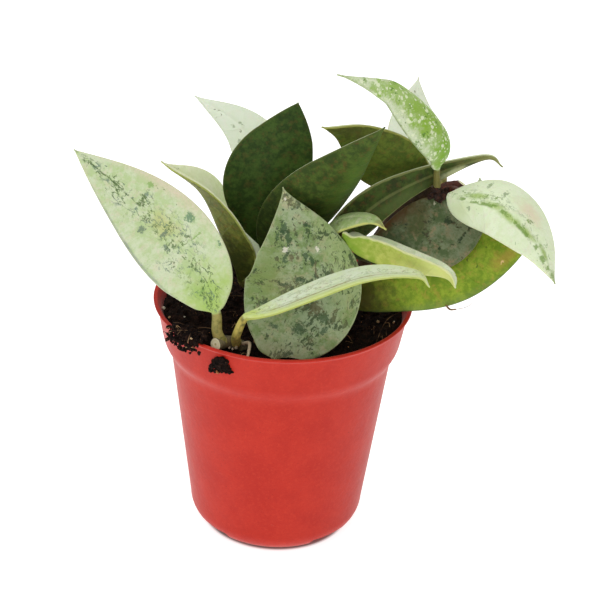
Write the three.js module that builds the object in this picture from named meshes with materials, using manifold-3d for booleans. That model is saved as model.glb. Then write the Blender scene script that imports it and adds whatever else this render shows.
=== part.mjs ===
// A young hoya in a small round nursery pot. Millimetres, +Z up.
// The origin is the middle of the pot's flat underside.

import * as THREE from "three";
import { mergeVertices } from "three/addons/utils/BufferGeometryUtils.js";
import Module from "manifold-3d";

const wasm = await Module();
wasm.setup();

const GAP = 0.3;

// Pot: a thin moulded cup with a flared collar and a small outward lip.
const POT_HEIGHT = 59;
const POT_WALL = 0.9;
const POT_FLOOR = 4.4;
const POT_SIDES = 64;
const FLAT_RADIUS = 14.7;
const CORNER_RADIUS = 6;
const BODY_BASE_RADIUS = 20.9;
const BODY_TOP_RADIUS = 25.88;
const BODY_TOP = 46;
const COLLAR_BASE_RADIUS = 27.54;
const COLLAR_BASE = 48.6;
const COLLAR_TOP_RADIUS = 29.2;
const COLLAR_TOP = 58;
const LIP_RADIUS = 30;

// Drain notches: shallow channels under the base that run out through its corner.
const NOTCH_COUNT = 4;
const NOTCH_FIRST_ANGLE = -48;
const NOTCH_WIDTH = 10;
const NOTCH_HEIGHT = 3.2;
const NOTCH_START = 13.2;
const NOTCH_LENGTH = 12;
const DRAIN_RADIUS = 2;

// Soil: it fills the pot to just under the lip, a little higher at the left.
const SOIL_TOP = 55.4;
const SOIL_RINGS = 9;
const SOIL_SIDES = 48;
const SOIL_MOUNDS = 26;
const SOIL_SEED = 11;

// Leaf blades: a grid of rows from base to tip, with the columns of each half.
const BLADE_ROWS = 12;
const BLADE_COLUMNS = 3;
const BLADE_THICKNESS = 1.5;
const EDGE_THICKNESS = 0.7;
const BASE_HALF_WIDTH = 0.8;
const TIP_HALF_WIDTH = 0.3;

// Petioles and stems are round, thinner towards the leaf.
const PETIOLE_RADIUS = 1.15;
const PETIOLE_END_RADIUS = 0.45;
const PETIOLE_THINNING = 3;
const PETIOLE_SIDES = 8;
const STEM_SIDES = 10;

const COLOURS = {
  pot: 0xc03c32, soil: 0x2b1f19, stem: 0x75703f, silver: 0xa9b79a, pale: 0xcfd8bd,
  dark: 0x3a5226, olive: 0x6f8a35, bright: 0x8fae4a, patched: 0x97b36a,
};

// Each stem: the middle line from its buried end, and its radius there and at the other
// end. A branch has the same: the small root of the cut stem, and the broken side shoot
// that stands out of the knot where the right stem's leaves grow.
const STEMS = {
  stem_front: {
    radius: 1.5, endRadius: 1.42,
    path: [[-3, -15, 49], [-6.5, -17, 53.5], [-11.4, -19.1, 57.1], [-14.3, -22.8, 58.4]],
    branch: {
      radius: 0.45, endRadius: 0.3,
      path: [[-8.6, -18.4, 56.3], [-6.9, -20.8, 58], [-6.9, -23.2, 57.2], [-7.5, -25.8, 55.2]],
    },
  },
  stem_left: { radius: 1.5, endRadius: 1.35, path: [[-8, 8, 47], [-7, 7.5, 55], [-6, 7.5, 63]] },
  stem_centre: { radius: 1.4, endRadius: 1.26, path: [[8, 1, 47], [9, 0.5, 58], [10, 0, 71]] },
  stem_right: {
    radius: 1.4, endRadius: 1.75,
    path: [[12, 6, 47], [15, 7, 57], [23.2, 10, 72.8], [29, 9.8, 79.4], [34, 8, 84.2]],
    branch: {
      radius: 1.35, endRadius: 0.95, path: [[33.6, 8.2, 83.6], [36.8, 9.2, 84.5], [39.9, 9.5, 85.3]],
    },
  },
};

// Each leaf: the petiole from its stem, the blade's midrib from base to tip, the
// way the upper side faces at base and tip, the full width, how far along the
// blade is widest, how fast it tapers to the tip, and the section's fold and
// curl in degrees. A leaf with no stem named stands in the soil. stalk is the
// petiole's radius where it isn't the usual one, roundBase marks a blade whose
// base is round and not pointed, and join is where along the midrib the petiole
// meets a blade whose base reaches past it.
const LEAVES = {
  leaf_front_left: {
    colour: "silver", stem: "stem_front", stalk: 1.2,
    petiole: [[-13, -21, 57.7], [-14.1, -21, 60.8]],
    midrib: [[-14.4, -20, 65], [-19.5, -17, 74], [-31, -9, 83.5], [-47.5, -2, 94.5]],
    faceBase: [-0.2, -0.8, 0.5], faceTip: [0.1, -0.7, 0.6],
    width: 18.5, widest: 0.37, taper: 1.05, fold: 5, curl: -3,
  },
  leaf_left_folded: {
    colour: "olive", stem: "stem_left",
    petiole: [[-6.9, 7.5, 57.8], [-9, 5.5, 59]],
    midrib: [[-10, 4, 61], [-14.6, 3, 73], [-19.6, 1, 84.5], [-28.1, -3, 93]],
    faceBase: [0.9, 0.45, 0.3], faceTip: [0.6, -0.15, 0.8],
    width: 18.8, widest: 0.34, taper: 1.4, fold: 30, curl: 1,
  },
  leaf_back_left: {
    colour: "pale", stem: "stem_left",
    petiole: [[-6.9, 7.5, 57.5], [-7.2, 10.5, 59]],
    midrib: [[-7, 12, 61], [-2, 16, 76], [-10, 22, 90], [-23, 27, 97]],
    faceBase: [-0.2, -0.8, 0.5], faceTip: [0, -0.7, 0.6],
    width: 17.5, widest: 0.3, taper: 1.1, fold: 5, curl: -3,
  },
  leaf_back_dark: {
    colour: "dark", stem: "stem_left",
    petiole: [[-6.2, 7.5, 61.5], [-5.8, 7.8, 64]],
    midrib: [[-5, 8, 67], [-5.2, 5, 80], [-4.2, 3.2, 89], [-0.9, 3.4, 98], [1.6, 4, 105.5]],
    faceBase: [0, 1, 0.1], faceTip: [-0.1, 1, 0.3],
    width: 20, widest: 0.51, taper: 0.97, fold: 5, curl: -11,
  },
  leaf_back_centre: {
    colour: "dark", stem: "stem_left",
    petiole: [[-6.4, 7.5, 59], [-4.5, 6, 61]],
    midrib: [[-3.5, 5, 64], [2, 0, 78.5], [12.5, -5, 94], [20.5, -8, 105.5]],
    faceBase: [0, 0.9, 0.4], faceTip: [-0.3, 0.9, 0.4],
    width: 17.6, widest: 0.42, taper: 1.15, fold: 5, curl: 18,
  },
  leaf_front_broad: {
    colour: "silver", roundBase: true,
    petiole: [[2.5, -18.5, 50], [0, -22, 54]],
    midrib: [[-1.1, -24, 56.6], [4.3, -15.6, 68.4], [3.2, -10, 77.5], [-1, -5, 89]],
    faceBase: [0, -0.85, 0.5], faceTip: [0, -0.8, 0.6],
    width: 26, widest: 0.4, taper: 1.36, fold: -3, curl: 3,
  },
  leaf_front_arched: {
    colour: "pale", stem: "stem_front", stalk: 1, roundBase: true,
    petiole: [[-10, -19.2, 57.1], [-9.6, -22, 61]],
    midrib: [[-7.7, -22.5, 65.5], [-2, -22.7, 67.6], [16.5, -21, 75.6], [28.5, -19.3, 76], [32, -19.3, 73.1]],
    faceBase: [-0.15, 0.05, 1], faceTip: [0.15, 0.06, 1],
    width: 9, widest: 0.37, taper: 0.6, fold: 4, curl: 10,
  },
  leaf_centre_folded: {
    colour: "bright", stem: "stem_centre",
    petiole: [[9.7, 0, 67.5], [11.2, -3, 75]],
    midrib: [[13.5, -7.2, 78.3], [16.5, -10.2, 76], [26, -14, 74.2], [35, -18, 75.2], [37.6, -20, 73.5]],
    faceBase: [0, 0.4, 0.9], faceTip: [0, 0.4, 0.9],
    width: 14, widest: 0.36, taper: 0.83, fold: 45, curl: 6,
  },
  leaf_centre_small: {
    colour: "pale", stem: "stem_centre",
    petiole: [[9.2, 0.4, 64.5], [7.4, -1.1, 68.5]],
    midrib: [[7.6, -1.4, 72.8], [11.9, -4.1, 80.3], [18.5, -9.5, 84.2], [22, -13.5, 83.7]],
    faceBase: [-0.1, -0.3, 1], faceTip: [0.2, -0.5, 1],
    width: 7, widest: 0.36, taper: 1.15, fold: 5, curl: -32,
  },
  leaf_right_back: {
    colour: "dark", stem: "stem_right", roundBase: true,
    petiole: [[31.2, 9, 81.5], [32, 9.9, 83.8]],
    midrib: [[31.8, 9.4, 86], [24.8, 7, 88.9], [14.8, 3, 98.2], [7, -1, 102]],
    faceBase: [-0.1, 0.9, 0.5], faceTip: [-0.2, 0.8, 0.6],
    width: 17.4, widest: 0.33, taper: 1.3, fold: 5, curl: -4,
  },
  leaf_top: {
    colour: "patched", stem: "stem_right", stalk: 0.85, roundBase: true,
    petiole: [[33.9, 8, 84.2], [33.8, 4.1, 85.3], [33.5, 2, 88.6]],
    midrib: [[33.1, -0.3, 93.3], [33.9, -2, 99.3], [24.2, -3, 110], [18.7, -4, 113.2], [9.7, -5, 115.8]],
    faceBase: [0.8, -0.5, 0.5], faceTip: [0.2, -0.6, 0.8],
    width: 11.6, widest: 0.3, taper: 1.5, fold: -5, curl: -27,
  },
  leaf_top_back: {
    colour: "pale", stem: "stem_right",
    petiole: [[33.6, 8.2, 83.8], [35.3, 10.5, 85]],
    midrib: [[35, 12, 87], [30, 16, 91.5], [28.5, 24, 96], [29.5, 31, 102.5]],
    faceBase: [-0.1, -0.8, 0.5], faceTip: [0, -0.7, 0.6],
    width: 13.5, widest: 0.37, taper: 1.25, fold: 5, curl: -8,
  },
  leaf_right_dark: {
    colour: "dark", stem: "stem_centre",
    petiole: [[9.9, 0.4, 69.8], [10, 0.7, 70.6]],
    midrib: [[10.2, 1.5, 71.8], [19.6, 1, 82.9], [30, 4, 88.6], [44, 6.5, 93.3], [48.6, 8, 90.5]],
    faceBase: [0, 0.9, -0.1], faceTip: [0.1, 0.8, 0.6],
    width: 9, widest: 0.25, taper: 1.1, fold: 5, curl: -22,
  },
  leaf_right_shaded: {
    colour: "silver", stem: "stem_centre",
    petiole: [[9.2, 0.5, 63], [11, 1, 66.5]],
    midrib: [[13.5, 1.5, 68.8], [22.5, 1, 71.7], [35.5, 1.2, 76.9], [46, 3.2, 80.8]],
    faceBase: [0.1, -0.8, 0.6], faceTip: [0.1, -0.8, 0.7],
    width: 17.2, widest: 0.61, taper: 1, fold: 5, curl: -5,
  },
  leaf_right_low: {
    colour: "bright",
    petiole: [[11, -2, 50], [12.5, -3.5, 56]],
    midrib: [[14.5, -4, 59.4], [26.5, -2.8, 65.8], [39.7, -1, 69.3], [56, 1, 76]],
    faceBase: [-0.1, 0.75, -0.6], faceTip: [-0.1, 0.75, -0.5],
    width: 16.5, widest: 0.48, taper: 0.85, fold: 5, curl: 8,
  },
  leaf_right_end: {
    colour: "pale", stem: "stem_right", join: 0.12, roundBase: true,
    petiole: [[32, 8.8, 82.2], [37.5, 6.9, 84.6]],
    midrib: [[36, -0.3, 86.2], [47.3, -6, 88], [55.5, -11, 82], [60, -14, 72.5]],
    faceBase: [0.1, -0.5, 0.9], faceTip: [0.5, -0.6, 0.5],
    width: 16.6, widest: 0.41, taper: 1.24, fold: -5, curl: -23,
  },
  leaf_right_young: {
    colour: "pale", stem: "stem_right",
    petiole: [[30.2, 9.5, 80.5], [35, 9.9, 79.6]],
    midrib: [[38.5, 9.6, 79.4], [42, 10.5, 80.2], [44.4, 13, 81.8], [44.4, 15, 84.5]],
    faceBase: [0.1, -0.5, 0.9], faceTip: [-0.1, -0.7, 0.6],
    width: 5, widest: 0.4, taper: 1, fold: 5, curl: -20,
  },
};

function vector(point) {
  return new THREE.Vector3(point[0], point[1], point[2]);
}

function signedVolume(positions, index) {
  const a = new THREE.Vector3();
  const b = new THREE.Vector3();
  const c = new THREE.Vector3();
  let volume = 0;
  for (let k = 0; k < index.length; k += 3) {
    a.fromArray(positions, index[k] * 3);
    b.fromArray(positions, index[k + 1] * 3);
    c.fromArray(positions, index[k + 2] * 3);
    volume += a.dot(b.cross(c)) / 6;
  }
  return volume;
}

// A closed geometry as a solid whose faces point outward.
function toSolid(geometry) {
  const plain = geometry.clone();
  plain.deleteAttribute("normal");
  plain.deleteAttribute("uv");
  const merged = mergeVertices(plain, 1e-4);
  const vertProperties = new Float32Array(merged.attributes.position.array);
  const triVerts = new Uint32Array(merged.index.array);
  if (signedVolume(vertProperties, triVerts) < 0) {
    for (let k = 0; k < triVerts.length; k += 3) {
      [triVerts[k + 1], triVerts[k + 2]] = [triVerts[k + 2], triVerts[k + 1]];
    }
  }
  return new wasm.Manifold(new wasm.Mesh({ numProp: 3, vertProperties, triVerts }));
}

function toGeometry(solid) {
  const mesh = solid.getMesh();
  const geometry = new THREE.BufferGeometry();
  geometry.setAttribute("position", new THREE.BufferAttribute(new Float32Array(mesh.vertProperties), 3));
  geometry.setIndex(new THREE.BufferAttribute(new Uint32Array(mesh.triVerts), 1));
  geometry.computeVertexNormals();
  return geometry;
}

function fromTriangles(points, triangles) {
  const geometry = new THREE.BufferGeometry();
  const flat = points.flatMap((point) => point.toArray());
  geometry.setAttribute("position", new THREE.Float32BufferAttribute(flat, 3));
  geometry.setIndex(triangles);
  return geometry;
}

// Rings of points joined into a closed skin, with a middle point at each end.
function skinRings(rings) {
  const sides = rings[0].length;
  const points = rings.flat();
  const triangles = [];
  for (let i = 0; i + 1 < rings.length; i += 1) {
    for (let j = 0; j < sides; j += 1) {
      const a = i * sides + j;
      const b = i * sides + ((j + 1) % sides);
      triangles.push(a, b, a + sides, b, b + sides, a + sides);
    }
  }
  for (const [ring, turn] of [[0, 1], [rings.length - 1, 0]]) {
    const middle = points.length;
    const centre = new THREE.Vector3();
    rings[ring].forEach((point) => centre.addScaledVector(point, 1 / sides));
    points.push(centre);
    for (let j = 0; j < sides; j += 1) {
      const a = ring * sides + j;
      const b = ring * sides + ((j + 1) % sides);
      triangles.push(...(turn ? [middle, b, a] : [middle, a, b]));
    }
  }
  return fromTriangles(points, triangles);
}

// A round tube along a smooth path. Its radius goes from start to end, evenly where
// thinning is 1 and mostly near the end where it is more.
function roundTube(path, startRadius, endRadius, sides, steps, thinning = 1) {
  const curve = new THREE.CatmullRomCurve3(path.map(vector), false, "catmullrom", 0.5);
  const guide = new THREE.Vector3(0.8, 0.6, 0.1);
  const rings = [];
  for (let i = 0; i <= steps; i += 1) {
    const t = i / steps;
    const centre = curve.getPointAt(t);
    const tangent = curve.getTangentAt(t);
    const across = new THREE.Vector3().crossVectors(tangent, guide).normalize();
    const up = new THREE.Vector3().crossVectors(across, tangent);
    const radius = startRadius + (endRadius - startRadius) * t ** thinning;
    const ring = [];
    for (let j = 0; j < sides; j += 1) {
      const angle = (2 * Math.PI * j) / sides;
      ring.push(centre.clone().addScaledVector(across, radius * Math.cos(angle))
        .addScaledVector(up, radius * Math.sin(angle)));
    }
    rings.push(ring);
  }
  return skinRings(rings);
}

// Where a half's section is at v (0 at the midrib, 1 at the margin), for a half one unit wide.
function sectionPoint(v, fold, curl) {
  const start = THREE.MathUtils.degToRad(fold);
  const turn = THREE.MathUtils.degToRad(curl);
  if (Math.abs(turn) < 1e-4) {
    return { out: v * Math.cos(start), rise: v * Math.sin(start), angle: start };
  }
  return {
    out: (Math.sin(start + turn * v) - Math.sin(start)) / turn,
    rise: (Math.cos(start) - Math.cos(start + turn * v)) / turn,
    angle: start + turn * v,
  };
}

function halfWidth(leaf, s) {
  const power = (leaf.widest * leaf.taper) / (1 - leaf.widest);
  const peak = leaf.widest ** power * (1 - leaf.widest) ** leaf.taper;
  const pointed = ((leaf.width / 2) * s ** power * (1 - s) ** leaf.taper) / peak;
  const round = (leaf.width / 2) * Math.sqrt(Math.max(0, 1 - (1 - s / leaf.widest) ** 2));
  const formed = leaf.roundBase && s < leaf.widest ? round : pointed;
  return Math.max(formed, BASE_HALF_WIDTH + (TIP_HALF_WIDTH - BASE_HALF_WIDTH) * s);
}

// The blade's two faces are the same grid, set off to each side of its middle surface.
function bladeGeometry(leaf) {
  const curve = new THREE.CatmullRomCurve3(leaf.midrib.map(vector), false, "catmullrom", 0.5);
  const faceBase = vector(leaf.faceBase).normalize();
  const faceTip = vector(leaf.faceTip).normalize();
  const columns = 2 * BLADE_COLUMNS + 1;
  const upper = [];
  const lower = [];
  for (let i = 0; i <= BLADE_ROWS; i += 1) {
    const t = i / BLADE_ROWS;
    const s = Math.min(1, Math.max(0, t - 0.1 * Math.sin(2 * Math.PI * t)));
    const centre = curve.getPointAt(s);
    const tangent = curve.getTangentAt(s);
    const face = faceBase.clone().lerp(faceTip, s);
    const side = new THREE.Vector3().crossVectors(tangent, face).normalize();
    const up = new THREE.Vector3().crossVectors(side, tangent);
    const half = halfWidth(leaf, s);
    for (let j = -BLADE_COLUMNS; j <= BLADE_COLUMNS; j += 1) {
      const v = Math.abs(j) / BLADE_COLUMNS;
      const sign = Math.sign(j);
      const section = sectionPoint(v, leaf.fold, leaf.curl);
      const point = centre.clone().addScaledVector(side, sign * section.out * half)
        .addScaledVector(up, section.rise * half);
      const normal = up.clone().multiplyScalar(Math.cos(section.angle))
        .addScaledVector(side, -sign * Math.sin(section.angle)).normalize();
      const thick = EDGE_THICKNESS + (BLADE_THICKNESS - EDGE_THICKNESS) * (1 - v * v) * Math.sqrt(1 - s);
      upper.push(point.clone().addScaledVector(normal, thick / 2));
      lower.push(point.clone().addScaledVector(normal, -thick / 2));
    }
  }
  return fromTriangles([...upper, ...lower], bladeTriangles(columns));
}

// Both faces are split along the same diagonals, and a strip closes the margin all round.
function bladeTriangles(columns) {
  const under = (BLADE_ROWS + 1) * columns;
  const triangles = [];
  for (let i = 0; i < BLADE_ROWS; i += 1) {
    for (let j = 0; j + 1 < columns; j += 1) {
      const a = i * columns + j;
      const b = a + 1;
      const c = a + columns;
      const d = c + 1;
      triangles.push(a, c, d, a, d, b);
      triangles.push(under + a, under + d, under + c, under + a, under + b, under + d);
    }
  }
  const rim = [];
  for (let j = 0; j + 1 < columns; j += 1) rim.push(j);
  for (let i = 0; i < BLADE_ROWS; i += 1) rim.push((i + 1) * columns - 1);
  for (let j = columns - 1; j > 0; j -= 1) rim.push(BLADE_ROWS * columns + j);
  for (let i = BLADE_ROWS; i > 0; i -= 1) rim.push(i * columns);
  rim.forEach((a, k) => {
    const b = rim[(k + 1) % rim.length];
    triangles.push(a, b, under + b, a, under + b, under + a);
  });
  return triangles;
}

// The petiole runs from the stem's middle into the blade, along the start of the midrib.
function petioleGeometry(leaf, extra) {
  const curve = new THREE.CatmullRomCurve3(leaf.midrib.map(vector), false, "catmullrom", 0.5);
  const join = leaf.join ?? 0;
  const inBlade = [join, join + 0.1].map((s) => curve.getPointAt(s).toArray());
  const path = lengthen([...leaf.petiole, ...inBlade], extra);
  const radius = leaf.stalk ?? PETIOLE_RADIUS;
  return roundTube(path, radius + extra, PETIOLE_END_RADIUS + extra, PETIOLE_SIDES, 6, PETIOLE_THINNING);
}

// A path made longer at both ends by the same amount.
function lengthen(path, extra) {
  if (extra === 0) return path;
  const beyond = (end, inner) => vector(end).add(vector(end).sub(vector(inner)).setLength(extra)).toArray();
  const last = path.length - 1;
  return [beyond(path[0], path[1]), ...path.slice(1, last), beyond(path[last], path[last - 1])];
}

// A stem, or the hole that clears it where extra is its clearance.
function stemSolid(stem, extra) {
  const steps = 3 * (stem.path.length - 1);
  const path = lengthen(stem.path, extra);
  const solid = toSolid(roundTube(path, stem.radius + extra, stem.endRadius + extra, STEM_SIDES, steps));
  return stem.branch ? solid.add(stemSolid(stem.branch, extra)) : solid;
}

function potProfile() {
  const profile = [new THREE.Vector2(0, 0), new THREE.Vector2(FLAT_RADIUS, 0)];
  for (const angle of [30, 60, 90]) {
    const turn = THREE.MathUtils.degToRad(angle);
    profile.push(new THREE.Vector2(
      BODY_BASE_RADIUS - CORNER_RADIUS + CORNER_RADIUS * Math.sin(turn),
      CORNER_RADIUS * (1 - Math.cos(turn)),
    ));
  }
  profile.push(
    new THREE.Vector2(BODY_TOP_RADIUS, BODY_TOP),
    new THREE.Vector2(COLLAR_BASE_RADIUS, COLLAR_BASE),
    new THREE.Vector2(COLLAR_TOP_RADIUS, COLLAR_TOP),
    new THREE.Vector2(LIP_RADIUS, POT_HEIGHT - 0.4),
    new THREE.Vector2(LIP_RADIUS, POT_HEIGHT),
    new THREE.Vector2(LIP_RADIUS - POT_WALL, POT_HEIGHT),
    new THREE.Vector2(COLLAR_TOP_RADIUS - POT_WALL, COLLAR_TOP - 0.4),
    ...innerProfile(0),
    new THREE.Vector2(0, POT_FLOOR),
  );
  return profile;
}

// The inside of the wall from the collar down to the floor, set in by the given clearance.
function innerProfile(clearance) {
  const inset = POT_WALL + clearance;
  return [
    new THREE.Vector2(COLLAR_BASE_RADIUS - inset, COLLAR_BASE + 0.4),
    new THREE.Vector2(BODY_TOP_RADIUS - inset, BODY_TOP + 0.4),
    new THREE.Vector2(BODY_BASE_RADIUS - inset, CORNER_RADIUS + 1),
    new THREE.Vector2(BODY_BASE_RADIUS - inset - 3, POT_FLOOR),
  ];
}

function potSolid() {
  let pot = toSolid(new THREE.LatheGeometry(potProfile(), POT_SIDES).rotateX(Math.PI / 2));
  for (let k = 0; k < NOTCH_COUNT; k += 1) {
    const angle = THREE.MathUtils.degToRad(NOTCH_FIRST_ANGLE + (360 / NOTCH_COUNT) * k);
    const notch = new THREE.BoxGeometry(NOTCH_LENGTH, NOTCH_WIDTH, 2 * NOTCH_HEIGHT)
      .translate(NOTCH_START + NOTCH_LENGTH / 2, 0, 0).rotateZ(angle);
    const drain = new THREE.CylinderGeometry(DRAIN_RADIUS, DRAIN_RADIUS, 4 * POT_FLOOR, 12)
      .rotateX(Math.PI / 2).translate(NOTCH_START + DRAIN_RADIUS + 0.5, 0, 0).rotateZ(angle);
    pot = pot.subtract(toSolid(notch)).subtract(toSolid(drain));
  }
  return pot;
}

// Small even random draws that are the same every time.
function seededRandom(seed) {
  let state = seed;
  return () => {
    state = (state * 16807) % 2147483647;
    return state / 2147483647;
  };
}

function soilMounds() {
  const random = seededRandom(SOIL_SEED);
  const mounds = [];
  for (let k = 0; k < SOIL_MOUNDS; k += 1) {
    const angle = 2 * Math.PI * random();
    const distance = 26 * Math.sqrt(random());
    mounds.push({
      x: distance * Math.cos(angle),
      y: distance * Math.sin(angle),
      spread: 2.5 + 3 * random(),
      height: 1.1 * random() - 0.5,
    });
  }
  mounds.push({ x: -24, y: -6, spread: 7, height: 1.4 });
  return mounds;
}

function soilGeometry() {
  const mounds = soilMounds();
  const heightAt = (x, y) => mounds.reduce((height, mound) => {
    const away = ((x - mound.x) ** 2 + (y - mound.y) ** 2) / mound.spread ** 2;
    return height + mound.height * Math.exp(-away);
  }, SOIL_TOP);
  const ringAt = (radius, height) => {
    const ring = [];
    for (let j = 0; j < SOIL_SIDES; j += 1) {
      const angle = (2 * Math.PI * j) / SOIL_SIDES;
      const x = radius * Math.cos(angle);
      const y = radius * Math.sin(angle);
      ring.push(new THREE.Vector3(x, y, height === null ? heightAt(x, y) : height));
    }
    return ring;
  };
  const wall = innerProfile(GAP + 0.05).reverse();
  const topRadius = COLLAR_TOP_RADIUS - POT_WALL - 0.85;
  const rings = wall.map((point) => ringAt(point.x, point.y));
  for (let i = SOIL_RINGS; i > 0; i -= 1) rings.push(ringAt((topRadius * i) / SOIL_RINGS, null));
  return skinRings(rings);
}

function makePlant() {
  const plant = new THREE.Group();
  const place = (name, solid, colour, roughness) => {
    const material = new THREE.MeshStandardMaterial({ color: COLOURS[colour], roughness, metalness: 0 });
    const mesh = new THREE.Mesh(toGeometry(solid), material);
    mesh.name = name;
    plant.add(mesh);
  };

  place("pot", potSolid(), "pot", 0.45);

  let soil = toSolid(soilGeometry());
  for (const stem of Object.values(STEMS)) soil = soil.subtract(stemSolid(stem, GAP));
  for (const [name, leaf] of Object.entries(LEAVES)) {
    let solid = toSolid(bladeGeometry(leaf)).add(toSolid(petioleGeometry(leaf, 0)));
    if (leaf.stem) {
      solid = solid.subtract(stemSolid(STEMS[leaf.stem], GAP));
    } else {
      soil = soil.subtract(toSolid(petioleGeometry(leaf, GAP)));
    }
    place(name, solid, leaf.colour, 0.5);
  }
  place("soil", soil, "soil", 0.95);
  for (const [name, stem] of Object.entries(STEMS)) place(name, stemSolid(stem, 0), "stem", 0.7);
  return plant;
}

export default makePlant();
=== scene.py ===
"""A young hoya in a small red nursery pot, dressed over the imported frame.

Lengths in the tables are in millimetres and angles in degrees. Meshes are made in metres.
"""

import math

import bmesh
import bpy
import numpy as np
from mathutils import Matrix, Vector, noise
from mathutils.kdtree import KDTree


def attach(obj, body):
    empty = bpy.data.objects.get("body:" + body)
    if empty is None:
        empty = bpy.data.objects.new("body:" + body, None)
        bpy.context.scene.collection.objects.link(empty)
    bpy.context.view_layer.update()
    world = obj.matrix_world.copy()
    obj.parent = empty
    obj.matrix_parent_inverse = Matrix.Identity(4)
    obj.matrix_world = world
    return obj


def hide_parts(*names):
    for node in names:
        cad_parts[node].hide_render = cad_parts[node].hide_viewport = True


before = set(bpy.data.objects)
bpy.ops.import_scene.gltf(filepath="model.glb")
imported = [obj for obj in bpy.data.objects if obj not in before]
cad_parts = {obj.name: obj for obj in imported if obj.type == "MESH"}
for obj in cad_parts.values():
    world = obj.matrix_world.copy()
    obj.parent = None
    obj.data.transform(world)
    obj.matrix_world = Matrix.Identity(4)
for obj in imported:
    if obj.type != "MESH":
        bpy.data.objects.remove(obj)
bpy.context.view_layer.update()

MM = 0.001

# Camera, as the photograph was taken: its height angle and roll, the point it looks at, how far off it
# is, how far it is slid aside and up, and its lens and sensor.
CAMERA_ELEVATION = 28.1
CAMERA_ROLL = 2.51
CAMERA_DISTANCE = 415.6
CAMERA_AIM = (0, 0, 27)
CAMERA_SLIDE_RIGHT = 5.09
CAMERA_SLIDE_UP = 27.35
CAMERA_LENS = 103.7
CAMERA_SENSOR = 36

# Light: an even sky, the floor's size in metres, its colours and own glow, the distances from the pot's
# axis between which the glow starts, so that the dark floor under and round the pot's foot is a painted
# contact shadow, and each lamp's place in metres, its size and its power.
WORLD_LIGHT = 0.5
FLOOR_RADIUS = 12
FLOOR_COLOURS = ((205, 205, 204), (210, 210, 209))
FLOOR_GLOW = 0.82
PAINTED_SHADOW_EDGE = (17.3, 18.5)
LAMP_AIM = (0, 0, 0.06)
LAMPS = {"overhead": ((-0.1, 0.1, 1.15), 1.1, 6.2), "front": ((-0.4, -1.0, 0.75), 0.9, 2.8)}

# Pot: a thin moulded cup with a flared collar and a small outward lip.
POT_HEIGHT = 59
POT_WALL = 0.9
POT_FLOOR = 4.4
POT_SIDES = 256
CORNER_RADIUS = 6
BODY_BASE_RADIUS = 20.9
BODY_TOP_RADIUS = 25.88
BODY_TOP = 46
COLLAR_BASE_RADIUS = 27.54
COLLAR_BASE = 48.6
COLLAR_TOP_RADIUS = 29.2
COLLAR_TOP = 58
LIP_RADIUS = 30
NOTCH_COUNT = 4
NOTCH_FIRST_ANGLE = -48
NOTCH_WIDTH = 10
NOTCH_HEIGHT = 3.2
NOTCH_START = 13.2
NOTCH_LENGTH = 12
NOTCH_ROUNDING = 0.5
DRAIN_RADIUS = 2
SHARP_ANGLE = 40
# The reach of the small curve at each corner of the pot's profile, from the foot of the collar's step
# over the lip and down the inside to the floor.
PROFILE_REACHES = (1.5, 1.5, 0.5, 0.2, 0.2, 0.25, 0.5, 0.4, 0.4, 1.5, 0.8)

# Soil: its level and reach, its mounds by number, reach, least spread with what the widest has more, and
# height with how deep that sinks, how fine its top is, and one more mound by the heap: its place, spread
# and height. Its lumps and grains have a scale and a height each.
SOIL_TOP = 55.4
SOIL_RADIUS = 27.7
SOIL_MOUNDS, MOUND_REACH = 26, 26
MOUND_SPREAD, MOUND_MORE = 2.5, 3
MOUND_RISE, MOUND_SINK = 1.1, 0.5
SOIL_SEED = 11
SOIL_RINGS, SOIL_SIDES = 84, 240
HEAP_MOUND = (-24, -6, 7, 1.4)
LUMP_SCALE, LUMP_HEIGHT = 0.45, 0.75
GRAIN_SCALE, GRAIN_HEIGHT = 2.3, 0.35
DRAW_FACTOR, DRAW_LIMIT = 16807, 2147483647

# Loose peat: the heap over the rim at the front left, by its angles, its distances from the axis and its
# height, and the distances at which it starts to slope down inside and out and how steeply, and the
# clump on the collar's outside, by its angle, its heights, its half width in degrees at the top and what
# that gains to the bottom, and its slant in millimetres a degree. Then how many crumbs, bits and fibres
# there are and between which distances they lie, the least radius of a crumb with how much more the
# largest has, and the seeds of the places and shapes.
HEAP_ANGLES = (-147, -134, -124)
HEAP_RADIUS = 29.3
HEAP_RADII = (26.5, 31)
HEAP_RISE = 1.8
HEAP_SLOPE_IN, HEAP_SLOPE_OUT = 28.3, 29.9
HEAP_FALL_IN, HEAP_FALL_OUT = 1.2, 2.4
CLUMP_ANGLE = -116.5
CLUMP_BOTTOM, CLUMP_TOP = 52.9, 57
CLUMP_HALF_WIDTH, CLUMP_WIDENING, CLUMP_SLANT = 2, 4.5, 0.16
TOP_CRUMBS, HEAP_CRUMBS, CLUMP_CRUMBS = 1150, 700, 240
TOP_REACH, BIT_REACH, FIBRE_REACH = (0, 27.4), (8, 27.2), (4, 26.6)
TOP_SIZES = (0.25, 0.75)
STUCK_SIZES = (0.28, 0.45)
CRUMB_SHAPES, CRUMB_SWELL = 6, 0.55
SMALL_BITS = 64
TOP_FIBRES, HEAP_FIBRES = 46, 26
FIBRE_SIDES, FIBRE_ROWS = 6, 12
CRUMB_SEEDS, BIT_SEEDS, FIBRE_SEED, LUMP_SEED = (5, 3), (8, 6), 12, 4

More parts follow.
